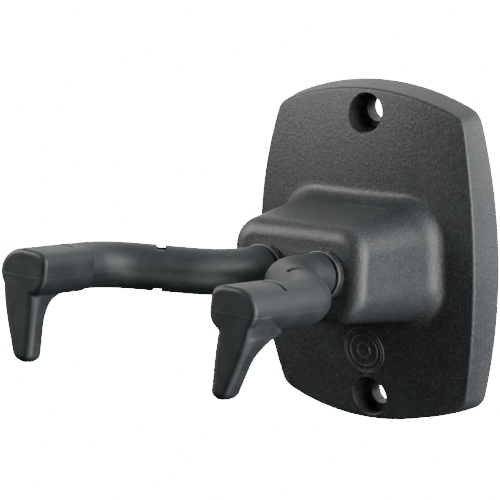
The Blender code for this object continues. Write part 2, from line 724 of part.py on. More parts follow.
def sleeve_marks(name, axis, hand):
    """Slots and slits across the top and the bottom of the sleeve."""
    marks = []
    slope = math.atan2(SECOND_ELBOW_FORWARD - ELBOW_FORWARD, REACH_OUT)
    middle = Vector((REACH_OUT, SECOND_ELBOW_FORWARD + ELBOW_FORWARD)) / 2
    middle += SLOT_SHIFT * Vector((math.cos(slope), math.sin(slope)))
    for side, place in ((1, "upper"), (-1, "lower")):
        top = ARM_RADIUS * side
        slot = box((-SLOT_WIDTH / 2, SLOT_WIDTH / 2), (-SLOT_REACH, SLOT_REACH), (-SLOT_DEPTH, SLOT_DEPTH))
        obj = add_object(f"{name}_{place}_slot", slot, parent=axis,
                         location=(middle.x * hand, -COLLAR_FACE - middle.y, top))
        obj.rotation_euler = (0, 0, -slope * hand)
        marks.append(obj)
        slit = box((-SLIT_REACH, SLIT_REACH), (-SLIT_WIDTH / 2, SLIT_WIDTH / 2), (-SLIT_DEPTH, SLIT_DEPTH))
        marks.append(add_object(f"{name}_{place}_slit", slit, parent=axis,
                                location=(REACH_OUT * hand, -COLLAR_FACE - SLIT_FORWARD, top)))
    return marks


def arm(side, hand, swing, frame, mats):
    """Everything on one shaft: fixed bearings, and the pieces that turn with the rod."""
    x = SHAFT_X * hand
    front_bush(f"{side}_front_bush", mats["bush"], frame, x)
    rear_bush(f"{side}_rear_bush", mats["bush"], frame, x)
    thrust_washer(f"{side}_thrust_washer", mats["steel"], frame, x)
    disc_spring(f"{side}_disc_spring", mats["spring"], frame, x)
    axis = add_empty(f"{side}_arm_axis", (x, 0, 0), (0, swing, 0), frame)
    arm_rod(f"{side}_arm_rod", mats["steel"], axis, hand)
    retaining_clip(f"{side}_retaining_clip", mats["spring"], axis)
    stop_pin(f"{side}_stop_pin", mats["steel"], axis, hand)
    arm_sleeve(f"{side}_arm_sleeve", mats["rubber"], axis, hand)


def main():
    """Build the hanger."""
    clear_scene()
    mats = {
        "base": material("black moulded plastic", (0.020, 0.022, 0.024), 0.5),
        "rubber": material("black rubber", (0.028, 0.031, 0.033), 0.6),
        "bush": material("black bearing plastic", (0.018, 0.019, 0.020), 0.45),
        "steel": material("zinc-plated steel", (0.55, 0.56, 0.57), 0.35, 1.0),
        "spring": material("blued spring steel", (0.10, 0.11, 0.13), 0.4, 1.0),
    }
    frame = add_empty("shaft_plane", (0, 0, SHAFT_WALL_Z), (-TILT, 0, 0))
    base_moulding(mats["base"], frame)
    bearing_plate(mats["steel"])
    bearing_screws(mats["steel"])
    arm("right", 1, REST_SWING, frame, mats)
    arm("left", -1, REST_SWING, frame, mats)


main()
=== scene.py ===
"""Finished look of a wall guitar hanger: moulded base, padded swinging arms and their bearings."""

import json
import logging
import math
from dataclasses import dataclass, field
from enum import Enum
from typing import Any, ClassVar

import bpy
import numpy as np
from mathutils import Matrix, Vector


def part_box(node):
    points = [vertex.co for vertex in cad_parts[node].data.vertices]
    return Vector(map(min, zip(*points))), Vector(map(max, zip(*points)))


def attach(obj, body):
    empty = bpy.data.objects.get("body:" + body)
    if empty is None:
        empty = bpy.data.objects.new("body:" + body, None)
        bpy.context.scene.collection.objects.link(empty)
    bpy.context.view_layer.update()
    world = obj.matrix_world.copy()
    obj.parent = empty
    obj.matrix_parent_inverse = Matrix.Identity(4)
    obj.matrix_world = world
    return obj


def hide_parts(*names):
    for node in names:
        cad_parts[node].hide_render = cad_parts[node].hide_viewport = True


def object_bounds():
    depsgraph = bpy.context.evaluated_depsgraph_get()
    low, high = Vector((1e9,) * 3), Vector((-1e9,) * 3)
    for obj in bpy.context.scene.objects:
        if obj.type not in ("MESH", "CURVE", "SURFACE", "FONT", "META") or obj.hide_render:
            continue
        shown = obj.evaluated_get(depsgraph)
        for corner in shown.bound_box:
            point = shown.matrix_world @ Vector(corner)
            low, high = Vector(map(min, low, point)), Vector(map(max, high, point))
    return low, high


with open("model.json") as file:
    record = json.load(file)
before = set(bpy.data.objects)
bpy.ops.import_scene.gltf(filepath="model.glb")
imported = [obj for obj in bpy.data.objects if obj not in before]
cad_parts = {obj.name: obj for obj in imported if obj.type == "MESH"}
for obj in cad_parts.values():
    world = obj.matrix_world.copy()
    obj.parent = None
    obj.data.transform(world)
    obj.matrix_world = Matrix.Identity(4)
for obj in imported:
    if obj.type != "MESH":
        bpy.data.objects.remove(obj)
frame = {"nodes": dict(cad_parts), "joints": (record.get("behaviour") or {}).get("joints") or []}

MM = 0.001
CAD_BOX = [list(corner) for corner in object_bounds()]
LOG = logging.getLogger("guitar_hanger")
Profile = tuple[tuple[float, float, float], ...]    # corners as (x, y, round), in millimetres


class Side(Enum):
    """The two arms; the value is the sign of X on that side."""

    RIGHT = 1
    LEFT = -1

    @property
    def word(self) -> str:
        """The side's name in lower case."""
        return self.name.lower()


class Operation(Enum):
    """Ways to combine a solid with a tool."""

    ADD = "UNION"
    CUT = "DIFFERENCE"


# ------------------------------------------------------------------ meshes from arrays


def linear(code: str) -> tuple[float, float, float, float]:
    """Turn an sRGB hex colour into linear RGBA.

    Args:
        code: six hex digits after a hash sign.

    Returns:
        Linear red, green, blue and an alpha of 1.
    """
    channels = np.array([int(code[i:i + 2], 16) for i in (1, 3, 5)]) / 255
    low = channels / 12.92
    high = ((channels + 0.055) / 1.055) ** 2.4
    return (*np.where(channels <= 0.04045, low, high).tolist(), 1.0)


def loft_object(name: str, rings: np.ndarray, caps: bool = True, sharp: float = 32) -> bpy.types.Object:
    """Skin a grid of points whose rows are closed rings.

    Row i and row i + 1 are joined by quads, column by column, and the last column joins
    the first.  With caps the first and last rings are filled; without, they are joined.

    Args:
        name: name of the object.
        rings: points as (row, column, 3), in metres.
        caps: whether the ends are filled.
        sharp: angle in degrees above which an edge is shaded sharp.

    Returns:
        The new object, at the origin.
    """
    rows, columns = rings.shape[:2]
    index = np.arange(rows * columns).reshape(rows, columns)
    lower = index[:-1] if caps else index
    upper = index[1:] if caps else np.roll(index, -1, axis=0)
    quads = np.stack([lower, np.roll(lower, -1, 1), np.roll(upper, -1, 1), upper], axis=-1)
    faces = quads.reshape(-1, 4).tolist()
    if caps:
        faces += [index[0, ::-1].tolist(), index[-1].tolist()]
    mesh = bpy.data.meshes.new(name)
    mesh.from_pydata(rings.reshape(-1, 3).tolist(), [], faces)
    face_outwards(mesh)
    finish_shading(mesh, sharp)
    obj = bpy.data.objects.new(name, mesh)
    bpy.context.scene.collection.objects.link(obj)
    return obj


def face_outwards(mesh: bpy.types.Mesh) -> None:
    """Flip a closed mesh whose signed volume is negative.

    The volume is a sixth of the sum of a . (b x c) over the triangles.

    Args:
        mesh: the mesh, changed in place.
    """
    mesh.calc_loop_triangles()
    count = len(mesh.loop_triangles)
    corners = np.empty(count * 3, np.int32)
    mesh.loop_triangles.foreach_get("vertices", corners)
    a, b, c = points_of(mesh)[corners.reshape(-1, 3)].transpose(1, 0, 2)
    if np.einsum("ij,ij->", a, np.cross(b, c)) < 0:
        mesh.flip_normals()


def finish_shading(mesh: bpy.types.Mesh, sharp: float) -> None:
    """Shade smooth, with edges above an angle in degrees kept sharp."""
    mesh.shade_smooth()
    mesh.set_sharp_from_angle(angle=math.radians(sharp))


def points_of(mesh: bpy.types.Mesh) -> np.ndarray:
    """Read the vertex positions of a mesh.

    Args:
        mesh: any mesh.

    Returns:
        Positions as (count, 3).
    """
    flat = np.empty(len(mesh.vertices) * 3)
    mesh.vertices.foreach_get("co", flat)
    return flat.reshape(-1, 3)


def turned_rings(profile: np.ndarray, sides: int) -> np.ndarray:
    """Carry (radius, y) points round the Y axis: x is r cos a, z is r sin a.

    Args:
        profile: points as (count, 2).
        sides: number of columns.

    Returns:
        Grid of (count, sides, 3).
    """
    angle = np.linspace(0, 2 * math.pi, sides, endpoint=False)
    radius, y = profile[:, :1], profile[:, 1:]
    level = np.broadcast_to(y, (len(profile), sides))
    return np.stack([radius * np.cos(angle), level, radius * np.sin(angle)], axis=-1)


def rounded(points: Profile, steps: int = 6) -> np.ndarray:
    """Round the corners of an open outline.

    Each entry is (x, y, radius).  A corner is replaced by the arc that touches both of its
    sides, and its ends lie radius / tan(half angle) from the corner.

    Args:
        points: corners with their radii; the first and last keep their place.
        steps: points on each arc.

    Returns:
        Points as (count, 2).
    """
    table = np.array(points, float)
    places, radii = table[:, :2], table[:, 2]
    pieces = [places[:1]]
    for before, corner, after, radius in zip(places, places[1:], places[2:], radii[1:]):
        back = (before - corner) / np.linalg.norm(before - corner)
        ahead = (after - corner) / np.linalg.norm(after - corner)
        half = math.acos(float(np.clip(back @ ahead, -1, 1))) / 2
        if radius <= 0 or half > math.pi / 2 - 0.001:
            pieces.append(corner[None])
            continue
        bisector = (back + ahead) / np.linalg.norm(back + ahead)
        centre = corner + bisector * radius / math.sin(half)
        turn = math.pi / 2 - half
        angle = np.linspace(-turn, turn, steps)[:, None]
        across = (ahead - back) / np.linalg.norm(ahead - back)
        pieces.append(centre + radius * (across * np.sin(angle) - bisector * np.cos(angle)))
    pieces.append(places[-1:])
    return np.concatenate(pieces)


def arc(centre: tuple[float, float], radius: float, start: float, end: float, count: int) -> np.ndarray:
    """Points on an arc, its last one left out, as (count, 2)."""
    angle = np.linspace(start, end, count, endpoint=False)
    return np.stack([centre[0] + radius * np.cos(angle), centre[1] + radius * np.sin(angle)], axis=-1)


def bulged_outline(half: tuple[float, float], arcs: tuple[float, float], corner: float,
                   counts: tuple[int, int, int]) -> np.ndarray:
    """Outline of four bulging sides with round corners, in XZ, seen from the front.

    A side is an arc about a point on X, an end is an arc about a point on Z.  A corner's
    centre is where those two circles, both shrunk by the corner radius, cross.

    Args:
        half: half width and half height.
        arcs: radius of the sides and of the ends.
        corner: radius of the corners.
        counts: points on half a side, on a corner and on half an end.

    Returns:
        Closed outline as (count, 2), the first point at +X.
    """
    side_centre, end_centre = half[0] - arcs[0], half[1] - arcs[1]
    side, end = arcs[0] - corner, arcs[1] - corner
    span = math.hypot(side_centre, end_centre)
    along = (side ** 2 - end ** 2 + span ** 2) / (2 * span)
    off = math.sqrt(side ** 2 - along ** 2)
    ux, uz = -side_centre / span, end_centre / span
    x = side_centre + along * ux - off * uz
    z = along * uz + off * ux
    side_angle = math.atan2(z, x - side_centre)
    end_angle = math.atan2(z - end_centre, x)
    quarter = np.concatenate([
        arc((side_centre, 0), arcs[0], 0, side_angle, counts[0]),
        arc((x, z), corner, side_angle, end_angle, counts[1]),
        arc((0, end_centre), arcs[1], end_angle, math.pi / 2, counts[2]),
        [[0, half[1]]],
    ])
    upper = np.concatenate([quarter, quarter[-2::-1] * (-1, 1)])
    return np.concatenate([upper, upper[-2:0:-1] * (1, -1)])


def grid_box(x: tuple[float, float], y: tuple[float, float], z: tuple[float, float]) -> np.ndarray:
    """Corners of a box as two rings of four, for cutting tools and ribs."""
    ring = np.array([(x[0], y[0]), (x[1], y[0]), (x[1], y[1]), (x[0], y[1])])
    return np.stack([np.column_stack([ring, np.full(4, level)]) for level in z])


def combine(obj: bpy.types.Object, tools: list[bpy.types.Object], operation: Operation) -> None:
    """Join the tools into one mesh, add it to or cut it from a solid, and delete them.

    Args:
        obj: the solid, whose mesh is replaced by the result.
        tools: closed solids; they may overlap each other.
        operation: whether they are added or cut.
    """
    vertices, faces, start = [], [], 0
    for tool in tools:
        vertices.append(points_of(tool.data) @ np.array(tool.matrix_world)[:3, :3].T)
        faces += [[start + v for v in polygon.vertices] for polygon in tool.data.polygons]
        start += len(tool.data.vertices)
        bpy.data.objects.remove(tool)
    mesh = bpy.data.meshes.new("tools")
    mesh.from_pydata(np.concatenate(vertices).tolist(), [], faces)
    joined = bpy.data.objects.new("tools", mesh)
    bpy.context.scene.collection.objects.link(joined)
    step = obj.modifiers.new("combine", "BOOLEAN")
    step.operation, step.solver, step.object = operation.value, "EXACT", joined
    step.use_self = operation is Operation.ADD
    apply_modifiers(obj)
    bpy.data.objects.remove(joined)


def apply_modifiers(obj: bpy.types.Object) -> None:
    """Replace an object's mesh with its evaluated one and clear its modifiers.

    Args:
        obj: the object, changed in place.
    """
    bpy.context.view_layer.update()
    evaluated = obj.evaluated_get(bpy.context.evaluated_depsgraph_get())
    mesh = bpy.data.meshes.new_from_object(evaluated)
    obj.modifiers.clear()
    obj.data = mesh


def settle(obj: bpy.types.Object, body: str, nodes: list[str],
           material: bpy.types.Material) -> bpy.types.Object:
    """Give a finished piece its material, its body and the CAD nodes it stands for.

    Args:
        obj: the piece.
        body: body that it rides on.
        nodes: CAD nodes that it replaces.
        material: its finish.

    Returns:
        The same piece.
    """
    obj.data.materials.clear()
    obj.data.materials.append(material)
    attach(obj, body)
    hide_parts(*nodes)
    LOG.info("%s: %d faces, rides on %s", obj.name, len(obj.data.polygons), body)
    return obj


# ------------------------------------------------------------------ finishes


def add_node(tree: bpy.types.NodeTree, kind: str, inputs: dict[Any, Any] | None = None,
             **settings: Any) -> bpy.types.Node:
    """Add a node, set its properties, and set or link its inputs.

    Args:
        tree: the node tree.
        kind: the node's type name.
        inputs: socket name or number to a value or to an output socket.
        settings: properties of the node.

    Returns:
        The new node.
    """
    made = tree.nodes.new(kind)
    for key, value in settings.items():
        setattr(made, key, value)
    for key, value in (inputs or {}).items():
        if isinstance(value, bpy.types.NodeSocket):
            tree.links.new(value, made.inputs[key])
        else:
            made.inputs[key].default_value = value
    return made


def new_material(name: str) -> tuple[bpy.types.Material, bpy.types.NodeTree, bpy.types.Node]:
    """Make an empty node material with a Principled shader wired to its output.

    Args:
        name: the material's name.

    Returns:
        The material, its node tree and its shader node.
    """
    material = bpy.data.materials.new(name)
    material.use_nodes = True
    tree = material.node_tree
    tree.nodes.clear()
    shader = add_node(tree, "ShaderNodeBsdfPrincipled")
    add_node(tree, "ShaderNodeOutputMaterial", {"Surface": shader.outputs["BSDF"]})
    return material, tree, shader


def millimetres(tree: bpy.types.NodeTree) -> bpy.types.NodeSocket:
    """Scale Object coordinates so that one unit is a millimetre.

    Args:
        tree: the node tree.

    Returns:
        The scaled coordinates.
    """
    place = add_node(tree, "ShaderNodeTexCoord")
    scaled = add_node(tree, "ShaderNodeMapping",
                      {"Vector": place.outputs["Object"], "Scale": (1000, 1000, 1000)})
    return scaled.outputs["Vector"]


def noise(tree: bpy.types.NodeTree, place: bpy.types.NodeSocket, grain: float, detail: float = 2,
          stretch: tuple[float, float, float] = (1, 1, 1)) -> bpy.types.NodeSocket:
    """Noise whose lumps are about one grain size wide.

    Args:
        tree: the node tree.
        place: coordinates in millimetres.
        grain: width of a lump in millimetres.
        detail: octaves of finer noise.
        stretch: scale along each axis; a small one draws the lumps out.

    Returns:
        Noise from 0 to 1.
    """
    moved = add_node(tree, "ShaderNodeMapping", {"Vector": place, "Scale": stretch})
    made = add_node(tree, "ShaderNodeTexNoise", {
        "Vector": moved.outputs["Vector"], "Scale": 1 / grain, "Detail": detail, "Roughness": 0.55})
    return made.outputs["Fac"]


def remap(tree: bpy.types.NodeTree, value: bpy.types.NodeSocket, low: float, high: float,
          to_low: float, to_high: float) -> bpy.types.NodeSocket:
    """Map a range of values to another, clamped.

    Args:
        tree: the node tree.
        value: the value that is mapped.
        low: low end of its range.
        high: high end of its range.
        to_low: result at the low end.
        to_high: result at the high end.

    Returns:
        The mapped value.
    """
    made = add_node(tree, "ShaderNodeMapRange", {
        "Value": value, "From Min": low, "From Max": high, "To Min": to_low, "To Max": to_high})
    return made.outputs["Result"]


def blend(tree: bpy.types.NodeTree, share: bpy.types.NodeSocket, first: Any,
          second: Any) -> bpy.types.NodeSocket:
    """Mix two colours by a share."""
    made = add_node(tree, "ShaderNodeMix", {0: share, 6: first, 7: second}, data_type="RGBA")
    return made.outputs[2]


def combine_values(tree: bpy.types.NodeTree, operation: str, first: Any,
                   second: Any) -> bpy.types.NodeSocket:
    """Arithmetic on two values."""
    made = add_node(tree, "ShaderNodeMath", {0: first, 1: second}, operation=operation)
    return made.outputs[0]


def band(tree: bpy.types.NodeTree, value: bpy.types.NodeSocket, middle: float, half: float,
         soft: float) -> bpy.types.NodeSocket:
    """One inside a band about a middle value, falling to zero over a soft edge.

    Args:
        tree: the node tree.
        value: the value that is tested.
        middle: middle of the band.
        half: its half width.
        soft: width of each soft edge.

    Returns:
        The band's strength.
    """
    shifted = combine_values(tree, "SUBTRACT", value, middle)
    away = combine_values(tree, "ABSOLUTE", shifted, 0.0)
    return remap(tree, away, half, half + soft, 1.0, 0.0)


@dataclass(frozen=True)
class SparkErodedNylon:
    """Black glass-filled nylon moulded in a spark-eroded tool.

    The tool leaves a pebbled grain that breaks highlights into small glints, and the proud
    edges carry a painted highlight, broken up by the grain.
    """

    name: str = "glass_filled_nylon_spark_eroded"
    colour: str = "#232628"
    pale: str = "#2e3133"
    # pale colour of random flecks, of the ejector line, and of the painted highlight on proud edges
    worn: str = "#606365"
    grain_mm: float = 0.50          # drawn about twice as coarse as the tool's, to show
    cloud_mm: float = 14.0
    line_mm: tuple[float, float, float] = (-21.8, 6.2, 7.4)   # ejector line: y, middle x, half length
    roof_mm: float = 14.0           # the line is on the housing's roof, above this height
    rough: tuple[float, float] = (0.40, 0.48)
    bump: tuple[float, float] = (0.85, 0.12)                  # strength, and depth in millimetres
    ior: float = 1.53

    def build(self) -> bpy.types.Material:
        """Build the node tree.

        Returns:
            The finished material.
        """
        material, tree, shader = new_material(self.name)
        place = millimetres(tree)
        axes = add_node(tree, "ShaderNodeSeparateXYZ", {"Vector": place})
        grain = noise(tree, place, self.grain_mm, 2)
        pebble = add_node(tree, "ShaderNodeTexVoronoi",
                          {"Vector": place, "Scale": 1 / (self.grain_mm * 1.7)}, feature="SMOOTH_F1")
        cloud = noise(tree, place, self.cloud_mm, 4)
        fleck = noise(tree, place, self.grain_mm * 0.6, 1)
        across = band(tree, axes.outputs["Y"], self.line_mm[0], 0.14, 0.08)
        along = band(tree, axes.outputs["X"], self.line_mm[1], self.line_mm[2], 0.4)
        roof = remap(tree, axes.outputs["Z"], self.roof_mm, self.roof_mm + 0.5, 0.0, 1.0)
        line = combine_values(tree, "MULTIPLY", combine_values(tree, "MULTIPLY", across, along), roof)
        clouded = remap(tree, cloud, 0.35, 0.7, 0.0, 0.55)
        shade = blend(tree, clouded, linear(self.colour), linear(self.pale))
        proud = add_node(tree, "ShaderNodeNewGeometry").outputs["Pointiness"]
        # Painted highlight: proud edges, where pointiness is high, are lightened, broken up by grain;
        # random pale flecks are added too
        edge_highlight_and_fleck = combine_values(tree, "MULTIPLY", remap(tree, proud, 0.505, 0.56, 0.0, 0.6),
                              remap(tree, fleck, 0.40, 0.62, 0.25, 1.0))
        edge_highlight_and_fleck = combine_values(tree, "MAXIMUM", edge_highlight_and_fleck, remap(tree, fleck, 0.54, 0.70, 0.0, 0.6))
        shade = blend(tree, edge_highlight_and_fleck, shade, linear(self.worn))
        shade = blend(tree, line, shade, linear(self.worn))
        rough = combine_values(tree, "ADD", remap(tree, cloud, 0.3, 0.7, *self.rough),
                               remap(tree, fleck, 0.3, 0.7, -0.03, 0.05))
        height = combine_values(tree, "ADD", combine_values(tree, "MULTIPLY", grain, 0.6),
                                combine_values(tree, "MULTIPLY", pebble.outputs["Distance"], 0.5))
        height = combine_values(tree, "ADD", height, combine_values(tree, "MULTIPLY", line, 1.6))
        bump = add_node(tree, "ShaderNodeBump",
                        {"Height": height, "Strength": self.bump[0], "Distance": self.bump[1] * MM})
        tree.links.new(shade, shader.inputs["Base Color"])
        tree.links.new(rough, shader.inputs["Roughness"])
        tree.links.new(bump.outputs["Normal"], shader.inputs["Normal"])
        shader.inputs["IOR"].default_value = self.ior
        return material


@dataclass(frozen=True)
class MouldedRubber:
    """Black thermoplastic rubber moulded over a steel core.

    It is satin and slightly mottled.  The mould's parting line runs along both sides and
    across the end, and a ring marks where its sliding end piece met the rest.
    """

    name: str = "thermoplastic_rubber_overmoulded"
    colour: str = "#1f2426"
    pale: str = "#292f31"
    rubbed: str = "#3c4144"
    skin_mm: float = 0.22
    mottle_mm: float = 5.0
    parting_mm: float = -0.9        # height of the parting line on the arm
    ring_mm: float = 57.7           # distance of the ring in front of the collar
    inner_mm: tuple[float, float] = (22.0, 25.0)              # outward places where the ring fades out
    rough: tuple[float, float] = (0.44, 0.52)
    bump: tuple[float, float] = (0.45, 0.06)                  # strength, and depth in millimetres
    ior: float = 1.50

    def build(self) -> bpy.types.Material:
        """Build the node tree, which reads the arm's own places from an attribute.

        Returns:
            The finished material.
        """
        material, tree, shader = new_material(self.name)
        stored = add_node(tree, "ShaderNodeAttribute", attribute_name=ArmSleeve.place_attribute)
        place = stored.outputs["Vector"]
        axes = add_node(tree, "ShaderNodeSeparateXYZ", {"Vector": place})
        mottle = noise(tree, place, self.mottle_mm, 3)
        streak = noise(tree, place, 1.6, 3, (1, 0.12, 1))
        skin = noise(tree, place, self.skin_mm, 2)
        parting = band(tree, axes.outputs["Z"], self.parting_mm, 0.06, 0.10)
        outward = combine_values(tree, "ABSOLUTE", axes.outputs["X"], 0.0)
        inner = remap(tree, outward, *self.inner_mm, 1.0, 0.0)
        round_it = band(tree, axes.outputs["Y"], self.ring_mm, 0.05, 0.10)
        ring = combine_values(tree, "MULTIPLY", round_it, inner)
        marks = combine_values(tree, "MAXIMUM", parting, ring)
        faint = combine_values(tree, "MULTIPLY", marks, remap(tree, streak, 0.35, 0.6, 0.15, 0.55))
        mottled = remap(tree, mottle, 0.35, 0.7, 0.0, 0.7)
        shade = blend(tree, mottled, linear(self.colour), linear(self.pale))
        shade = blend(tree, remap(tree, streak, 0.52, 0.75, 0.0, 0.22), shade, linear(self.rubbed))
        shade = blend(tree, faint, shade, linear(self.rubbed))
        rough = remap(tree, mottle, 0.3, 0.7, *self.rough)
        height = combine_values(tree, "ADD", combine_values(tree, "MULTIPLY", skin, 0.25),
                                combine_values(tree, "MULTIPLY", marks, 0.9))
        bump = add_node(tree, "ShaderNodeBump",
                        {"Height": height, "Strength": self.bump[0], "Distance": self.bump[1] * MM})
        tree.links.new(shade, shader.inputs["Base Color"])
        tree.links.new(rough, shader.inputs["Roughness"])
        tree.links.new(bump.outputs["Normal"], shader.inputs["Normal"])
        shader.inputs["IOR"].default_value = self.ior
        return material


@dataclass(frozen=True)
class BearingAcetal:
    """Black acetal bushes, moulded in a polished tool.

    They are smooth and waxy, with painted highlights on their rims and fine rings where the shafts turn.
    """

    name: str = "acetal_moulded_bush"
    colour: str = "#1d1f20"
    pale: str = "#2c2f31"
    # colour of the painted highlight on the bushes' proud rims
    rim: str = "#8b8e90"
    ring_mm: float = 0.35
    rough: tuple[float, float] = (0.28, 0.40)
    bump: tuple[float, float] = (0.3, 0.03)                   # strength, and depth in millimetres
    ior: float = 1.48

    def build(self) -> bpy.types.Material:
        """Build the node tree.

        Returns:
            The finished material.
        """
        material, tree, shader = new_material(self.name)
        place = millimetres(tree)
        cloud = noise(tree, place, 2.5, 3)
        rings = noise(tree, place, self.ring_mm, 1, (0.08, 1, 0.08))
        clouded = remap(tree, cloud, 0.35, 0.7, 0.0, 0.8)
        shade = blend(tree, clouded, linear(self.colour), linear(self.pale))
        proud = add_node(tree, "ShaderNodeNewGeometry").outputs["Pointiness"]
        # Painted highlight: proud rims, where pointiness is high, are lightened
        shade = blend(tree, remap(tree, proud, 0.52, 0.58, 0.0, 0.8), shade, linear(self.rim))
        bump = add_node(tree, "ShaderNodeBump",
                        {"Height": rings, "Strength": self.bump[0], "Distance": self.bump[1] * MM})
        tree.links.new(shade, shader.inputs["Base Color"])
        tree.links.new(remap(tree, cloud, 0.3, 0.7, *self.rough), shader.inputs["Roughness"])
        tree.links.new(bump.outputs["Normal"], shader.inputs["Normal"])
        shader.inputs["IOR"].default_value = self.ior
        return material


@dataclass(frozen=True)
class PlatedSteel:
    """Cold-drawn or rolled steel with a plated or blackened skin.

    Zinc has a cloudy, slightly blue film over fine rolling lines; oil-blackened spring
    steel is darker, with brown bloom.
    """

    name: str
    colour: str
    bloom: str
    rough: tuple[float, float]
    line_mm: float = 0.18
    cloud_mm: float = 3.0
    bump: tuple[float, float] = (0.25, 0.02)                  # strength, and depth in millimetres

    def build(self) -> bpy.types.Material:
        """Build the node tree.

        Returns:
            The finished material.
        """
        material, tree, shader = new_material(self.name)
        place = millimetres(tree)
        lines = noise(tree, place, self.line_mm, 2, (0.04, 1, 1))
        cloud = noise(tree, place, self.cloud_mm, 4)
        clouded = remap(tree, cloud, 0.35, 0.68, 0.0, 1.0)
        shade = blend(tree, clouded, linear(self.colour), linear(self.bloom))
        rough = combine_values(tree, "ADD", remap(tree, cloud, 0.3, 0.7, *self.rough),
                               remap(tree, lines, 0.3, 0.7, -0.04, 0.04))
        bump = add_node(tree, "ShaderNodeBump",
                        {"Height": lines, "Strength": self.bump[0], "Distance": self.bump[1] * MM})
        tree.links.new(shade, shader.inputs["Base Color"])
        tree.links.new(rough, shader.inputs["Roughness"])
        tree.links.new(bump.outputs["Normal"], shader.inputs["Normal"])
        shader.inputs["Metallic"].default_value = 1.0
        return material


class Finishes:
    """The finishes of the whole hanger, built once."""

    def __init__(self) -> None:
        """Build every material."""
        self.base = SparkErodedNylon().build()
        self.rubber = MouldedRubber().build()
        self.bush = BearingAcetal().build()
        self.zinc = PlatedSteel("bright_zinc_plated_steel", "#c3c6c8", "#a3a9ae", (0.26, 0.42)).build()
        self.spring = PlatedSteel("oil_blackened_spring_steel", "#3c3f43", "#55504a", (0.32, 0.48)).build()


# ------------------------------------------------------------------ the shaft's frame


@dataclass(frozen=True)
class Shaft:
    """Where one arm turns, read from its joint."""

    side: Side
    origin: Vector                  # on the shaft, in the plane of the collar's face
    forward: Vector                 # along the shaft, away from the wall

    @classmethod
    def of(cls, side: Side) -> "Shaft":
        """Read the shaft of one side from the frame's joints.

        Args:
            side: which arm.

        Returns:
            Its shaft, pointing away from the wall.
        """
        joint = next(j for j in frame["joints"] if j["name"] == f"{side.word}_arm_swing")
        axis = Vector(joint["axis"])
        return cls(side, Vector(joint["pos_m"]), -axis if axis.y > 0 else axis)

    def matrix(self, swing: float = 0.0) -> Matrix:
        """Transform from shaft axes (X right, Y towards the wall, Z up) to the hanger's.

        Args:
            swing: turn about the shaft, in radians.

        Returns:
            The transform, as a rotation about the shaft and a move to its origin.
        """
        right = Vector((1, 0, 0))
        back = -self.forward
        up = right.cross(back)
        turn = Matrix((right, back, up)).transposed().to_4x4()
        return Matrix.Translation(self.origin) @ turn @ Matrix.Rotation(swing, 4, "Y")


# ------------------------------------------------------------------ base moulding


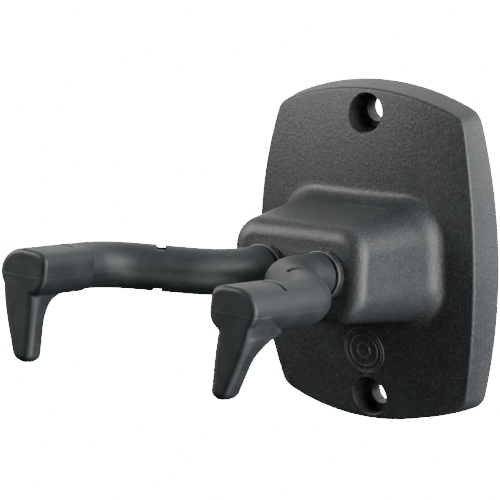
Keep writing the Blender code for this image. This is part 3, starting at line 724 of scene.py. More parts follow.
@dataclass
class BaseMoulding:
    """Plate and housing in one moulding, with ribs and bosses behind.

    Lengths are in metres.  The front is a dome: its height above the wall falls with the
    squares of x and z.
    """

    finishes: Finishes
    draft: float = 1.2 * MM                         # how far the rim stands out past the front
    side_arc: float = 164 * MM
    end_arc: float = 78 * MM
    corner: float = 5 * MM
    thickness: float = 16.0 * MM                    # at the middle of the dome
    dome: tuple[float, float] = (2.8, 2.5)          # fall per square metre along X and Z
    edge: float = 0.8 * MM
    wall: float = 3.2 * MM
    rim: tuple[float, float] = (0.3 * MM, 0.2 * MM) # bevels outside and inside the rim
    housing_front: float = 50.3 * MM
    front_half: float = 23.2 * MM
    front_span: tuple[float, float] = (-13.0 * MM, 16.2 * MM)
    root_half: float = 25.8 * MM
    root_span: tuple[float, float] = (-17.0 * MM, 17.2 * MM)
    root_height: float = 20.5 * MM                  # where the sides turn out into the flare
    housing_corners: tuple[float, float] = (8.5 * MM, 10.5 * MM)    # at the front and at the root
    housing_edge: float = 5 * MM
    flare: float = 3.7 * MM
    hole_z: float = 42.95 * MM
    hole: float = 3.5 * MM
    bore: float = 5.85 * MM
    bore_floor: float = 4.7 * MM
    rim_round: float = 0.45 * MM
    boss: tuple[float, float] = (7.9 * MM, 41.2 * MM)               # radius and place of a screw boss
    rib: float = 2.2 * MM
    rib_pitch: float = 12.6 * MM
    rib_inset: float = 1 * MM                       # from the plate's front outline
    gap: float = 0.3 * MM
    spigot: float = 5.9 * MM
    stop_clear: float = 5.85 * MM                   # between a shaft's middle and the stop blocks
    stop_reach: tuple[float, float] = (19.8 * MM, 26.8 * MM)        # behind the collar's face
    stop_levels: tuple[float, float] = (5.5 * MM, 14.7 * MM)        # above the shaft
    stop_side: float = 20 * MM
    screws: tuple[float, float, float] = (27.0 * MM, 14.2 * MM, -17.2 * MM)     # X, upper Z, lower Z
    screw_boss: float = 4.2 * MM
    pilot: float = 1.8 * MM
    pilot_depth: float = 9.8 * MM
    mark_z: float = -28.7 * MM
    mark_radius: float = 7.0 * MM
    mark_rings: tuple[tuple[float, float], ...] = ((6.85, 0.28), (6.1, 0.16), (4.75, 0.24), (2.2, 0.20))
    mark_relief: float = 0.26 * MM
    mark_root: float = 0.6 * MM                     # how deep the mark's disc sits in the plate
    counts: tuple[int, int, int] = (22, 14, 22)
    straight: float = 2.0           # arc radius of a side that looks straight
    half: tuple[float, float] = field(init=False)
    shaft: Shaft = field(init=False)

    def __post_init__(self) -> None:
        """Take the plate's size and the shafts' slope from the frame."""
        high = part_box("base_moulding")[1]
        self.half = (high.x - self.draft, high.z - self.draft)
        self.shaft = Shaft.of(Side.RIGHT)

    def height(self, x: np.ndarray, z: np.ndarray) -> np.ndarray:
        """Height of the domed front above the wall."""
        return self.thickness - self.dome[0] * x ** 2 - self.dome[1] * z ** 2

    def plate_outline(self, grow: float) -> np.ndarray:
        """Plate outline grown by a distance."""
        return bulged_outline((self.half[0] + grow, self.half[1] + grow),
                              (self.side_arc + grow, self.end_arc + grow), self.corner + grow, self.counts)

    def housing_outline(self, share: float, grow: float) -> np.ndarray:
        """Outline of the housing, in XZ.

        Args:
            share: 0 at its front, 1 at its root; the sizes in between are in proportion.
            grow: distance by which the outline is grown.

        Returns:
            Closed outline as (count, 2).
        """
        half = self.front_half + (self.root_half - self.front_half) * share + grow
        low, high = (f + (r - f) * share for f, r in zip(self.front_span, self.root_span))
        first, last = self.housing_corners
        outline = bulged_outline((half, (high - low) / 2 + grow), (self.straight, self.straight),
                                 first + (last - first) * share + grow, self.counts)
        return outline + (0, (high + low) / 2)

    def front_y(self, z: np.ndarray, depth: float) -> np.ndarray:
        """Y of the front face, which is square to the shafts and so leans back with height.

        Args:
            z: heights.
            depth: distance by which the face is moved in.

        Returns:
            Y at each height.
        """
        tilt = math.asin(self.shaft.forward.z)
        wall_z = self.shaft.origin.z + self.shaft.origin.y * math.tan(tilt)
        return -(self.housing_front - depth) / math.cos(tilt) + (z - wall_z) * math.tan(tilt)

    def housing_rings(self, offset: float, edge: float, spread: float, steps: int) -> list[np.ndarray]:
        """Rings from the front face, round its edge, down the sides and out along the flare.

        The edge is a quarter circle: at angle a it is set in by edge (1 - sin a) and back by
        edge (1 - cos a).  The flare is a quarter ellipse from the root line to the dome.

        Args:
            offset: distance of the surface inside the outer skin.
            edge: radius of the front edge.
            spread: how far the flare runs out.
            steps: rings on the edge and on the flare.

        Returns:
            The rings, each as (count, 3).
        """
        rings = []
        for a in np.linspace(0, math.pi / 2, steps):
            x, z = self.housing_outline(0, -offset - edge * (1 - math.sin(a))).T
            rings.append(np.stack([x, self.front_y(z, offset + edge * (1 - math.cos(a))), z], axis=-1))
        for a in np.linspace(0, math.pi / 2, steps):
            x, z = self.housing_outline(1, spread * (1 - math.cos(a)) - offset).T
            base = self.height(x, z) - offset
            level = self.root_height + (base - self.root_height) * math.sin(a)
            rings.append(np.stack([x, -level, z], axis=-1))
        return rings

    def dome_rings(self, inner: np.ndarray, outer: np.ndarray, shares: np.ndarray,
                   drop: float) -> list[np.ndarray]:
        """Rings on the dome at shares of the way between two outlines.

        Args:
            inner: first outline.
            outer: second outline, with as many points.
            shares: 0 on the first, 1 on the second.
            drop: distance below the dome.

        Returns:
            The rings, each as (count, 3).
        """
        rings = []
        for share in shares:
            x, z = (inner + (outer - inner) * share).T
            rings.append(np.stack([x, drop - self.height(x, z), z], axis=-1))
        return rings

    def skin(self) -> np.ndarray:
        """Skin of the whole shell: outside from front to rim, then inside back to the front.

        Returns:
            Grid of closed rings.
        """
        rings = self.housing_rings(0, self.housing_edge, self.flare, 12)
        rings += self.dome_rings(self.housing_outline(1, self.flare), self.plate_outline(-self.edge),
                                 np.linspace(0.06, 1, 22), 0)
        for a in np.linspace(0, math.pi / 2, 9)[1:]:
            x, z = self.plate_outline(-self.edge * (1 - math.sin(a))).T
            rings.append(np.stack([x, self.edge * (1 - math.cos(a)) - self.height(x, z), z], axis=-1))
        outside, within = self.rim
        for grow, y in ((self.draft, -outside), (self.draft - outside, 0),
                        (self.draft - self.wall + within, 0), (self.draft - self.wall, -within)):
            x, z = self.plate_outline(grow).T
            rings.append(np.stack([x, np.full_like(x, y), z], axis=-1))
        rings += self.dome_rings(self.housing_outline(1, -self.wall), self.plate_outline(-self.wall),
                                 np.linspace(1, 0.06, 8), self.wall)
        inside = self.housing_rings(self.wall, 0, 0, 2)
        return np.stack(rings + [inside[3], inside[2], inside[0]])

    def rib_rings(self, start: tuple[float, float], end: tuple[float, float]) -> np.ndarray:
        """Box of one rib, its front edge inside the plate's wall.

        Args:
            start: XZ place of one end.
            end: XZ place of the other end.

        Returns:
            Two rings of four corners.
        """
        first, last = np.array(start), np.array(end)
        along = (last - first) / np.linalg.norm(last - first)
        side = np.array([-along[1], along[0]]) * self.rib / 2
        rings = []
        for x, z in (first, last):
            top = self.wall / 2 - self.height(x, z)
            rings.append([(x - side[0], 0, z - side[1]), (x + side[0], 0, z + side[1]),
                          (x + side[0], top, z + side[1]), (x - side[0], top, z - side[1])])
        return np.array(rings)

    def boss_rings(self, x: float, z: float, radius: float, base: float) -> np.ndarray:
        """Round boss that runs into the plate's wall.

        Args:
            x: place across.
            z: place up.
            radius: its radius.
            base: height above the wall at which it starts.

        Returns:
            Two rings.
        """
        ring = arc((x, z), radius, 0, 2 * math.pi, 48)
        top = self.wall / 2 - self.height(ring[:, 0], ring[:, 1])
        return np.stack([np.column_stack([ring[:, 0], y, ring[:, 1]]) for y in (np.full(48, -base), top)])

    def additions(self) -> list[bpy.types.Object]:
        """Ribs, bosses and stop blocks.

        Returns:
            Closed solids that overlap the shell.
        """
        plate_low, plate_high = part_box("bearing_plate")
        grids = []
        for side, first in ((1, plate_high.z + self.gap), (-1, plate_low.z - self.gap)):
            grids.append(self.rib_rings((0, first), (0, self.hole_z * side)))
            grids.append(self.boss_rings(0, self.boss[1] * side, self.boss[0], 0))
            for step in (-2, -1, 1, 2):
                x = self.rib_pitch * step
                reach = self.half[1] - self.rib_inset - x ** 2 / (2 * self.end_arc)
                grids.append(self.rib_rings((x, first), (x, reach * side)))
        for side in (-1, 1):
            for z in self.screws[1:]:
                grids.append(self.rib_rings(((plate_high.x + self.gap) * side, z),
                                            ((self.half[0] - self.rib_inset) * side, z)))
                grids.append(self.boss_rings(self.screws[0] * side, z, self.screw_boss,
                                             plate_high.y - plate_low.y + self.gap))
        made = [loft_object(f"addition_{i}", grid) for i, grid in enumerate(grids)]
        return made + self.stop_blocks()

    def stop_blocks(self) -> list[bpy.types.Object]:
        """Blocks under the housing's roof, between which the stop pins swing.

        Returns:
            Three blocks, turned to the shafts' slope.
        """
        clear, wall, x = self.stop_clear, self.stop_side, self.shaft.origin.x
        made = []
        for name, span in (("middle", (clear - x, x - clear)), ("right", (x + clear, wall)),
                           ("left", (-wall, -x - clear))):
            block = loft_object(f"stop_{name}", grid_box(span, self.stop_reach, self.stop_levels))
            block.data.transform(Matrix.Translation((-x, 0, 0)))
            block.data.transform(self.shaft.matrix())
            made.append(block)
        return made

    def cuts(self) -> list[bpy.types.Object]:
        """Tools for the wall-screw holes, the pilots and the shaft holes.

        Returns:
            Closed solids.
        """
        made = []
        stepped = np.array([(self.hole, 2 * MM), (self.hole, -self.bore_floor),
                            (self.bore, -self.bore_floor), (self.bore, -20 * MM)])
        for side in (-1, 1):
            hole = loft_object(f"hole_{side}", turned_rings(stepped, 96))
            hole.data.transform(Matrix.Translation((0, 0, self.hole_z * side)))
            made.append(hole)
        for side in (-1, 1):
            for z in self.screws[1:]:
                pilot = loft_object(f"pilot_{side}_{z}", turned_rings(np.array(
                    [(self.pilot, 1 * MM), (self.pilot, -self.pilot_depth)]), 32))
                pilot.data.transform(Matrix.Translation((self.screws[0] * side, 0, z)))
                made.append(pilot)
            bore = loft_object(f"shaft_hole_{side}", turned_rings(np.array(
                [(self.spigot, 10 * MM), (self.spigot, -2 * MM)]), 64))
            bore.data.transform(Shaft.of(Side(side)).matrix())
            made.append(bore)
        return made

    def rim_tools(self) -> list[bpy.types.Object]:
        """Tools that round the mouths of the counterbores.

        Each is turned about the dome's normal at the hole, and its radius at a depth d
        below the surface is the bore plus r - sqrt(r^2 - (r - d)^2), with r the round.

        Returns:
            Closed solids.
        """
        r = self.rim_round
        slope = math.atan(2 * self.dome[1] * self.hole_z)
        depth = np.linspace(r, 0, 8)
        radius = self.bore + r - np.sqrt(r ** 2 - (r - depth) ** 2)
        profile = np.column_stack([radius, depth])
        profile = np.concatenate([[(self.bore - 0.2 * MM, 1.2 * r)], profile, [(self.bore + r, -2 * MM)]])
        made = []
        for side in (-1, 1):
            tool = loft_object(f"rim_{side}", turned_rings(profile, 96))
            surface = -float(self.height(np.array(0.0), np.array(self.hole_z)))
            stretch = Matrix.Scale(1 / math.cos(slope), 4, (0, 0, 1))
            turn = Matrix.Rotation(-slope * side, 4, "X")
            tool.data.transform(Matrix.Translation((0, surface, self.hole_z * side)) @ turn @ stretch)
            made.append(tool)
        return made

    def moulded_mark(self) -> bpy.types.Object:
        """Plain round mark: raised rings on a disc that follows the dome.

        The relief at a radius is the sum over the rings of exp(-(distance / half width)^4).

        Returns:
            The mark, as one closed piece sunk in the plate.
        """
        radius = np.linspace(self.mark_radius + 0.6 * MM, 0.02 * MM, 130)[:, None]
        angle = np.linspace(0, 2 * math.pi, 160, endpoint=False)[None]
        x, z = radius * np.cos(angle), self.mark_z + radius * np.sin(angle)
        relief = np.zeros_like(radius)
        for ring, half in self.mark_rings:
            relief = relief + self.mark_relief * np.exp(-((radius / MM - ring) / half) ** 4)
        fade = np.clip((self.mark_radius + 0.45 * MM - radius) / (0.15 * MM), 0, 1)
        front = -self.height(x, z) - relief * fade - 0.02 * MM * (fade * 2 - 1)
        back = -self.height(x, z) + self.mark_root
        grid = np.stack([x, front, z], axis=-1)
        rear = np.stack([x, back, z], axis=-1)[[0, -1]]
        return loft_object("moulded_mark", np.concatenate([rear[:1], grid]), sharp=60)

    def build(self) -> None:
        """Build the moulding and its mark."""
        base = loft_object("base_moulding_finished", self.skin())
        combine(base, self.additions(), Operation.ADD)
        combine(base, self.cuts(), Operation.CUT)
        combine(base, self.rim_tools(), Operation.CUT)
        finish_shading(base.data, 32)
        settle(base, "base", ["base_moulding"], self.finishes.base)
        mark = self.moulded_mark()
        mark.data.materials.append(self.finishes.base)
        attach(mark, "base")


# ------------------------------------------------------------------ bearings


@dataclass
class BearingSet:
    """The bearing plate, its screws, and the bushes that hold each shaft."""

    finishes: Finishes
    screw_places: tuple[float, float, float] = (27.0 * MM, 14.2 * MM, -17.2 * MM)   # X, upper Z, lower Z
    bush_hole: float = 5.3 * MM
    corner: float = 3 * MM
    head: float = 3 * MM
    shank: float = 1.5 * MM
    gap: float = 0.3 * MM
    plate_edge: Profile = ((3, 0, 0), (0, 0, 0.5), (0, -3, 0.5), (3, -3, 0))    # inset and Y
    screw_head: Profile = ((0.02, -0.1, 0), (3.0, -0.1, 0.12), (3.0, -0.4, 0.1), (1.5, -1.9, 0.3),
                           (1.5, -2.4, 0))          # radius and Y, as for the shank's end
    recess: tuple[float, float, float] = (1.7, 0.38, 1.3)       # half length, half width, depth in mm
    thread_root: float = 1.36 * MM
    thread_pitch: float = 0.8 * MM
    thread_wave: float = 0.085                      # share of the root's radius
    thread_end: float = -9.2 * MM
    # The rings' corners are radius and distance behind the collar's face.
    front_bush: Profile = ((4.3, 0, 0.3), (7.45, 0, 0.45), (7.45, 2.7, 0.25), (5.6, 2.7, 0.1),
                           (5.6, 7.5, 0.3), (4.3, 7.5, 0.2))
    rear_bush: Profile = ((3.3, 48.1, 0.2), (6.5, 48.1, 0.25), (6.5, 49.3, 0.25), (4.8, 49.3, 0.1),
                          (4.8, 52.4, 0.3), (3.3, 52.4, 0.25))
    thrust_washer: Profile = ((4.3, 7.8, 0.1), (7.0, 7.8, 0.2), (7.0, 8.8, 0.2), (4.3, 8.8, 0.1))
    disc_spring: Profile = ((4.3, 9.6, 0.1), (7.0, 9.1, 0.15), (7.0, 9.7, 0.15), (4.3, 10.2, 0.1))

    def plate(self) -> None:
        """Pressed steel plate with round edges, bush holes and countersinks."""
        low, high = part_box("bearing_plate")
        half = ((high.x - low.x) / 2, (high.z - low.z) / 2)
        middle = (high.z + low.z) / 2
        straight, least = 2.0, 0.2 * MM
        rings = []
        for inset, y in rounded(self.plate_edge) * MM:
            corner = self.corner + least - inset if inset < self.corner else least
            x, z = bulged_outline((half[0] - inset, half[1] - inset), (straight, straight), corner,
                                  (6, 10, 6)).T
            rings.append(np.stack([x, np.full_like(x, y), z + middle], axis=-1))
        plate = loft_object("bearing_plate_finished", np.stack(rings))
        tools = []
        for side in Side:
            hole = np.array([(self.bush_hole, 1 * MM), (self.bush_hole, -8 * MM)])
            tool = loft_object(f"bush_hole_{side.word}", turned_rings(hole, 64))
            shaft = Shaft.of(side)
            fall = (shaft.origin.y + 1.5 * MM) / shaft.forward.y * shaft.forward.z
            tool.data.transform(Matrix.Translation((shaft.origin.x, 0, shaft.origin.z - fall)))
            tools.append(tool)
        for name, x, z in self.places():
            sink = np.array([(self.head + self.gap, 1 * MM), (self.head + self.gap, -0.4 * MM),
                             (self.shank + self.gap, -1.9 * MM), (self.shank + self.gap, -6 * MM)])
            tool = loft_object(f"sink_{name}", turned_rings(sink, 48))
            tool.data.transform(Matrix.Translation((x, 0, z)))
            tools.append(tool)
        combine(plate, tools, Operation.CUT)
        finish_shading(plate.data, 32)
        settle(plate, "base", ["bearing_plate"], self.finishes.zinc)

    def places(self) -> list[tuple[str, float, float]]:
        """Name and XZ place of each screw.

        Returns:
            Name, X and Z of each screw.
        """
        x, top, bottom = self.screw_places
        return [(f"{side.word}_{level}", x * side.value, z)
                for side in Side for level, z in (("upper", top), ("lower", bottom))]

    def screws(self) -> None:
        """Countersunk screws with a cross recess and a threaded shank.

        The thread multiplies the shank's radius by 1 + wave cos(2 pi y / pitch + turn).
        """
        sides = 48
        shank_y = np.arange(-2.5, self.thread_end / MM, -0.1) * MM
        shank = np.column_stack([np.full_like(shank_y, self.thread_root), shank_y])
        profile = np.concatenate([rounded(self.screw_head) * MM, shank, [(0.8 * MM, -9.45 * MM)]])
        grid = turned_rings(profile, sides)
        turn = np.linspace(0, 2 * math.pi, sides, endpoint=False)[None]
        level = grid[..., 1]
        threaded = (level < -2.45 * MM) & (level > self.thread_end)
        wave = np.cos(2 * math.pi * level / self.thread_pitch + turn)
        grid[..., [0, 2]] *= np.where(threaded, 1 + self.thread_wave * wave, 1)[..., None]
        length, width, depth = self.recess
        for name, x, z in self.places():
            screw = loft_object(f"bearing_screw_{name}_finished", grid)
            arms = []
            for a, b in ((length, width), (width, length)):
                box = grid_box((-a * MM, a * MM), (-depth * MM, 1 * MM), (-b * MM, b * MM))
                arms.append(loft_object(f"recess_{name}_{a}", box))
            combine(arms[0], arms[1:], Operation.ADD)
            combine(screw, arms[:1], Operation.CUT)
            finish_shading(screw.data, 30)
            screw.data.transform(Matrix.Translation((x, 0, z)) @ Matrix.Rotation(x * 90 + z * 40, 4, "Y"))
            settle(screw, "base", [f"bearing_screw_{name}"], self.finishes.zinc)

    def ring(self, side: Side, part: str, corners: Profile, slot: str,
             material: bpy.types.Material) -> None:
        """Turn one closed profile about a shaft.

        Args:
            side: which shaft.
            part: the CAD node's name after the side.
            corners: radius, distance behind the collar's face, and round.
            slot: the record's material slot; not used.
            material: the finish.
        """
        first = ((corners[0][0] + corners[-1][0]) / 2, (corners[0][1] + corners[-1][1]) / 2, 0)
        profile = rounded([first, *corners, first], 5)[:-1] * MM
        piece = loft_object(f"{side.word}_{part}_finished", turned_rings(profile, 96), caps=False, sharp=40)
        piece.data.transform(Shaft.of(side).matrix())
        settle(piece, "base", [f"{side.word}_{part}"], material)

    def bushes(self) -> None:
        """Both bushes, the thrust washer and the disc spring on each shaft."""
        for side in Side:
            self.ring(side, "front_bush", self.front_bush, "bush_plastic", self.finishes.bush)
            self.ring(side, "rear_bush", self.rear_bush, "bush_plastic", self.finishes.bush)
            self.ring(side, "thrust_washer", self.thrust_washer, "zinc_steel", self.finishes.zinc)
            self.ring(side, "disc_spring", self.disc_spring, "spring_steel", self.finishes.spring)

    def build(self) -> None:
        """Build the set."""
        self.plate()
        self.screws()
        self.bushes()


# ------------------------------------------------------------------ arms


@dataclass
class ArmSleeve:
    """Rubber sleeve over a twice-bent rod, ending in a down-turned tip.

    The arm's own axes are outward from the shaft, forward from the collar, and up.  All
    fields are in millimetres but the rest swing, which is in degrees.
    """

    finishes: Finishes
    place_attribute: ClassVar[str] = "arm_place"
    radius: float = 6.85
    bore: float = 4.3
    gap: float = 0.3                # in front of the collar
    lip: float = 0.35               # bevel round the sleeve's root
    elbow: float = 19.4             # forward place of each elbow, and of the end
    second_elbow: float = 41.4
    end: float = 82.2
    out: float = 26.8               # outward place of the end length
    rod_end: float = 77.3
    bend: float = 22.0
    edge: float = 1.5
    pad_start: float = 58.0
    pad_step: float = 0.5           # over which the tube steps to its end length
    pad: tuple[float, float, float] = (18.12, 34.26, 6.95)      # inner side, outer side, rise
    square: tuple[float, float] = (4.0, 2.5)                    # of the pad above and below the middle
    floor: float = -25.85           # of the tip
    inner: float = 21.0
    lean: tuple[float, float] = (0.344, -4.7)                   # slope of the outer side, and its top
    rear: float = 74.7
    corner: float = 2.4
    flare: float = 9.0
    spread: tuple[float, float] = (5.5, 16.0)                   # of the flare, inside and outside
    flare_bend: float = 40.0        # radius on which its outer side turns in
    flare_fade: float = 0.8         # share of its reach lost above the tube's underside
    bottom_round: float = 2.4
    top: float = -1.0
    slot: tuple[float, float, float] = (2.8, 1.8, 3.9)          # width, depth, half length of the tool
    slot_shift: float = 0.9         # from the middle of the diagonal length, towards the tip
    slit: tuple[float, float, float] = (0.9, 2.0, 4.4)          # as for the slot
    slit_forward: float = 63.2
    swing: float = 4.0
    voxel: float = 0.24

    def path(self, start: float, end: float, steps: int) -> np.ndarray:
        """Centre line of the arm, its two elbows round.

        Args:
            start: forward place of its first point.
            end: forward place of its last point.
            steps: points on each elbow.

        Returns:
            Points as (outward, forward).
        """
        corners = [(0, start, 0), (0, self.elbow, self.bend), (self.out, self.second_elbow, self.bend),
                   (self.out, end, 0)]
        return rounded(corners, steps)

    def tube_rings(self, line: np.ndarray, radii: np.ndarray, sides: int) -> np.ndarray:
        """Carry a circle along a centre line, square to its mean direction at each point.

        Args:
            line: points as (outward, forward).
            radii: radius at each point.
            sides: points on the circle.

        Returns:
            Grid of (outward, forward, up) points.
        """
        ahead = np.gradient(line, axis=0)
        ahead /= np.linalg.norm(ahead, axis=1, keepdims=True)
        side = np.column_stack([ahead[:, 1], -ahead[:, 0]])
        angle = np.linspace(0, 2 * math.pi, sides, endpoint=False)
        reach = radii[:, None] * np.cos(angle)
        flat = line[:, None, :] + side[:, None, :] * reach[..., None]
        rise = radii[:, None] * np.sin(angle)
        return np.concatenate([flat, rise[..., None]], axis=-1)

    def pad_rings(self, forward: np.ndarray, inset: np.ndarray, sides: int) -> np.ndarray:
        """Slices of the end length, shrunk by an inset: round outside, a squarer pad inside.

        The outer half is an ellipse that widens along the arm.  The inner half is a
        superellipse whose exponent is larger above the middle than below it.

        Args:
            forward: forward place of each slice.
            inset: how much smaller each slice is.
            sides: points on a slice.

        Returns:
            Grid of (outward, forward, up) points.
        """
        angle = np.linspace(0, 2 * math.pi, sides, endpoint=False)
        c, s = np.cos(angle), np.sin(angle)
        power = np.where(c >= 0, 1.0, np.where(s > 0, 2 / self.square[0], 2 / self.square[1]))
        inset = inset[:, None]
        share = np.clip((forward[:, None] - self.pad_start) / (self.end - self.edge - self.pad_start), 0, 1)
        outer = self.radius + (self.pad[1] - self.out - self.radius) * share - inset
        half = np.where(c >= 0, outer, self.out - self.pad[0] - inset)
        u = self.out + half * np.sign(c) * np.abs(c) ** power
        w = (self.pad[2] - inset) * np.sign(s) * np.abs(s) ** power
        return np.stack([u, np.broadcast_to(forward[:, None], u.shape), w], axis=-1)

    def tube(self) -> np.ndarray:
        """Outer skin of the tube, stepping to its end length, whose blunt end has a round edge.

        Returns:
            Grid of (outward, forward, up) points.
        """
        line = self.path(self.gap, self.pad_start - self.pad_step, 26)
        line = np.concatenate([line[:1], line[:1] + (0, self.lip), line[1:]])
        radii = np.full(len(line), self.radius)
        radii[0] -= self.lip
        turn = np.linspace(0, math.pi / 2, 9)
        forward = np.concatenate([np.linspace(self.pad_start, self.end - self.edge, 12)[:-1],
                                  self.end - self.edge * (1 - np.sin(turn))])
        inset = np.concatenate([np.zeros(11), self.edge * (1 - np.cos(turn))])
        return np.concatenate([self.tube_rings(line, radii, 96), self.pad_rings(forward, inset, 96)])

    def tip(self) -> np.ndarray:
        """Down-turned tip: four-sided slices with round corners.

        The outer side leans in below a soft knee: its place is the pad's less the slope
        times log(1 + exp(depth)).  Behind, the slices spread back under the sleeve by
        1 - sqrt(1 - rise^2) of the flare's reach, more on the outer side than the inner; the
        outer side turns in by the square of that over twice the bend radius.

        Returns:
            Grid of (outward, forward, up) points.
        """
        start = -self.radius - self.flare
        turn = np.linspace(0, 0.97 * math.pi / 2, 12)[1:]
        height = np.concatenate([[self.top], np.linspace(-self.radius, start, 24),
                                 np.linspace(start, self.floor + self.bottom_round, 18)[1:],
                                 self.floor + self.bottom_round * (1 - np.sin(turn))])[:, None]
        level = np.zeros(len(height) - len(turn))
        inset = np.concatenate([level, self.bottom_round * (1 - np.cos(turn))])[:, None]
        inner = self.inner + inset
        outer = self.pad[1] - self.lean[0] * np.log1p(np.exp(self.lean[1] - height)) - inset
        rear, front = self.rear + inset, self.end - inset
        corner = np.minimum(self.corner, 0.49 * (front - rear))
        quarter = np.repeat(np.arange(4), 9)[None]
        angle = math.pi / 2 * (quarter + np.tile(np.linspace(0, 1, 9), 4)[None])
        outside, ahead = (quarter == 0) | (quarter == 3), quarter < 2
        u = np.where(outside, outer - corner, inner + corner) + corner * np.cos(angle)
        f = np.where(ahead, front - corner, rear + corner) + corner * np.sin(angle)
        rise = np.clip(height - start, 0, self.flare) / self.flare
        share = (u - inner) / (outer - inner)
        reach = self.spread[0] + (self.spread[1] - self.spread[0]) * share
        fade = 1 - self.flare_fade * np.maximum(height + self.radius, 0) / (self.top + self.radius)
        back = reach * fade * (1 - np.sqrt(1 - rise ** 2)) * (front - f) / (front - rear)
        f = f - back
        u = u - share * back ** 2 / (2 * self.flare_bend)
        return np.stack([u, f, np.broadcast_to(height, u.shape)], axis=-1)

    def marks(self) -> list[bpy.types.Object]:
        """Slots and slits, above and below, that the core's support pins left.

        Returns:
            Boxes that cut them.
        """
        made = []
        slope = math.atan2(self.second_elbow - self.elbow, self.out)
        middle = (self.out / 2 + self.slot_shift * math.cos(slope),
                  (self.elbow + self.second_elbow) / 2 + self.slot_shift * math.sin(slope))
        for level in (-self.radius, self.radius):
            width, depth, reach = self.slot
            box = grid_box((-width / 2, width / 2), (-reach, reach), (-depth, depth)) * MM
            slot = loft_object(f"slot_{level}", box)
            slot.data.transform(Matrix.Translation(Vector((*middle, level)) * MM)
                                @ Matrix.Rotation(slope, 4, "Z"))
            width, depth, reach = self.slit
            box = grid_box((-reach, reach), (-width / 2, width / 2), (-depth, depth)) * MM
            slit = loft_object(f"slit_{level}", box)
            slit.data.transform(Matrix.Translation(Vector((self.out, self.slit_forward, level)) * MM))
            made += [slot, slit]
        return made

    def body(self) -> bpy.types.Object:
        """Sleeve in the arm's own axes: tube and tip fused and softened, then bored and slotted.

        Returns:
            The sleeve, in metres.
        """
        sleeve = loft_object("arm_sleeve", self.tube() * MM)
        combine(sleeve, [loft_object("tip", self.tip() * MM)], Operation.ADD)
        fuse = sleeve.modifiers.new("fuse", "REMESH")
        fuse.mode, fuse.voxel_size = "VOXEL", self.voxel * MM
        soften = sleeve.modifiers.new("soften", "SMOOTH")
        soften.factor, soften.iterations = 0.5, 6
        apply_modifiers(sleeve)
        bore_line = self.path(-2, self.rod_end, 20)
        bore = self.tube_rings(bore_line, np.full(len(bore_line), self.bore), 48)
        combine(sleeve, [loft_object("bore", bore * MM)] + self.marks(), Operation.CUT)
        return sleeve

    def build(self) -> None:
        """Build both sleeves: one mesh, mirrored for the left, each turned to its rest."""
        pattern = self.body()
        places = points_of(pattern.data) / MM
        for side in Side:
            mesh = pattern.data.copy()
            attribute = mesh.attributes.new(self.place_attribute, "FLOAT_VECTOR", "POINT")
            attribute.data.foreach_set("vector", places.astype(np.float32).ravel())
            flip = Matrix.Diagonal((side.value, -1, 1, 1))
            mesh.transform(Shaft.of(side).matrix(math.radians(self.swing)) @ flip)
            face_outwards(mesh)
            finish_shading(mesh, 40)
            sleeve = bpy.data.objects.new(f"{side.word}_arm_sleeve_finished", mesh)
            bpy.context.scene.collection.objects.link(sleeve)
            settle(sleeve, f"{side.word}_arm", [f"{side.word}_arm_sleeve"],
                   self.finishes.rubber)
        bpy.data.objects.remove(pattern)


@dataclass
class CarriedNodes:
    """CAD nodes whose shape stays: hidden steel that only needs its finish."""

    finishes: Finishes

    def build(self) -> None:
        """Give each one its finish."""
        for side in Side:
            for part, material in (("arm_rod", self.finishes.zinc), ("stop_pin", self.finishes.zinc),
                                   ("retaining_clip", self.finishes.spring)):
                node = frame["nodes"][f"{side.word}_{part}"]
                node.data.materials.clear()
                node.data.materials.append(material)
                LOG.info("%s: carried over with %s", node.name, material.name)


# ------------------------------------------------------------------ studio


@dataclass(frozen=True)
class SoftLight:
    """One soft rectangular light, aimed at the hanger.

    Its place is an azimuth from the front towards the right, an elevation and a distance.
    """

    name: str
    azimuth: float
    elevation: float
    distance: float
    size: tuple[float, float]
    power: float


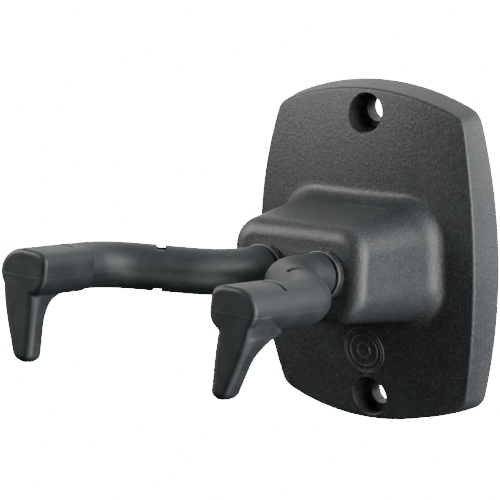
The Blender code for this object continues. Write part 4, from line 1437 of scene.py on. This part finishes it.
@dataclass
class Studio:
    """Pale floor, soft lights and the camera."""

    lights: tuple[SoftLight, ...] = (
        SoftLight("side_right", 75, 20, 0.9, (0.6, 0.6), 4.5),
        SoftLight("side_right_behind", 112, 18, 0.9, (0.6, 0.6), 4.6),
        SoftLight("softbox_left", -50, 34, 0.5, (0.34, 0.30), 2.5),
        SoftLight("softbox_left_low", -60, 8, 0.6, (0.3, 0.4), 0.5),
        SoftLight("softbox_left_side", -85, 25, 0.8, (0.5, 0.5), 1.2),
        SoftLight("behind_left", -150, 25, 0.9, (0.8, 0.5), 0.6),
        SoftLight("bounce_low", 60, -30, 0.9, (0.6, 0.6), 3.5),
        SoftLight("side_right_low", 95, -5, 0.9, (0.5, 0.5), 7.6),
        SoftLight("side_right_high", 100, 45, 0.9, (0.5, 0.5), 0.9),
    )
    lit: tuple[float, float, float] = (0, -60 * MM, 0)
    behind: tuple[float, float, float, float] = (-0.35, 0.6, 0.03, 1.0)     # direction's Y to brightness
    above: tuple[float, float, float, float] = (-0.35, 0.25, 0.05, 1.0)     # direction's Z to brightness
    azimuth: float = 34.7
    elevation: float = 11.4
    roll: float = -1.08
    distance: float = 2.004
    lens: float = 495.8
    aim: tuple[float, float, float] = (-3.1 * MM, -68 * MM, 11.2 * MM)
    floor_drop: float = 0.35
    floor_radius: float = 12
    floor_glow: float = 30.0        # makes it as white as the surroundings

    def camera(self) -> None:
        """Stand a long lens at the chosen angle."""
        a, e = math.radians(self.azimuth), math.radians(self.elevation)
        back = Vector((math.sin(a) * math.cos(e), -math.cos(a) * math.cos(e), math.sin(e)))
        right = Vector((math.cos(a), math.sin(a), 0))
        up = back.cross(right)
        data = bpy.data.cameras.new("camera")
        data.lens, data.sensor_width = self.lens, 36
        data.clip_start, data.clip_end = 0.05, 50
        camera = bpy.data.objects.new("camera", data)
        bpy.context.scene.collection.objects.link(camera)
        turn = Matrix((right, up, back)).transposed().to_4x4()
        place = Matrix.Translation(Vector(self.aim) + back * self.distance)
        camera.matrix_world = place @ turn @ Matrix.Rotation(math.radians(self.roll), 4, "Z")
        bpy.context.scene.camera = camera

    def floor(self) -> None:
        """Pale floor, well below the hanger; its glow stays out of reflections and bounced light."""
        low = CAD_BOX[0][2] - self.floor_drop
        ring = arc((0, 0), self.floor_radius, 0, 2 * math.pi, 96)
        rings = np.stack([np.column_stack([ring * s, np.full(96, low)]) for s in (1, 0.01)])
        floor = loft_object("floor", rings)
        material, tree, shader = new_material("pale_painted_floor")
        shader.inputs["Base Color"].default_value = linear("#f4f4f2")
        shader.inputs["Roughness"].default_value = 0.8
        shader.inputs["Emission Color"].default_value = linear("#ffffff")
        shader.inputs["Emission Strength"].default_value = self.floor_glow
        floor.data.materials.append(material)
        floor.visible_glossy = False
        floor.visible_diffuse = False

    def place_light(self, soft: SoftLight) -> None:
        """Make one light.

        Args:
            soft: its name, place, size in metres and power in watts.
        """
        a, e = math.radians(soft.azimuth), math.radians(soft.elevation)
        away = Vector((math.sin(a) * math.cos(e), -math.cos(a) * math.cos(e), math.sin(e)))
        data = bpy.data.lights.new(soft.name, "AREA")
        data.shape = "RECTANGLE"
        data.size, data.size_y = soft.size
        data.energy = soft.power
        light = bpy.data.objects.new(soft.name, data)
        bpy.context.scene.collection.objects.link(light)
        light.location = Vector(self.lit) + away * soft.distance
        light.rotation_mode = "QUATERNION"
        light.rotation_quaternion = away.to_track_quat("Z", "Y")

    def world(self) -> None:
        """Pale surroundings: bright behind and above the hanger, dim in front of it and below."""
        world = bpy.data.worlds.new("studio")
        world.use_nodes = True
        tree = world.node_tree
        tree.nodes.clear()
        place = add_node(tree, "ShaderNodeTexCoord")
        axes = add_node(tree, "ShaderNodeSeparateXYZ", {"Vector": place.outputs["Generated"]})
        behind = remap(tree, axes.outputs["Y"], *self.behind)
        above = remap(tree, axes.outputs["Z"], *self.above)
        level = combine_values(tree, "MULTIPLY", behind, above)
        background = add_node(tree, "ShaderNodeBackground", {"Color": (1, 1, 1, 1), "Strength": level})
        add_node(tree, "ShaderNodeOutputWorld", {"Surface": background.outputs["Background"]})
        bpy.context.scene.world = world

    def build(self) -> None:
        """Set the studio up."""
        self.floor()
        for soft in self.lights:
            self.place_light(soft)
        self.world()
        self.camera()


def main() -> None:
    """Build the hanger in order and report each piece."""
    logging.basicConfig(level=logging.INFO, format="%(message)s")
    finishes = Finishes()
    BaseMoulding(finishes).build()
    BearingSet(finishes).build()
    ArmSleeve(finishes).build()
    CarriedNodes(finishes).build()
    Studio().build()


if __name__ == "__main__":
    main()
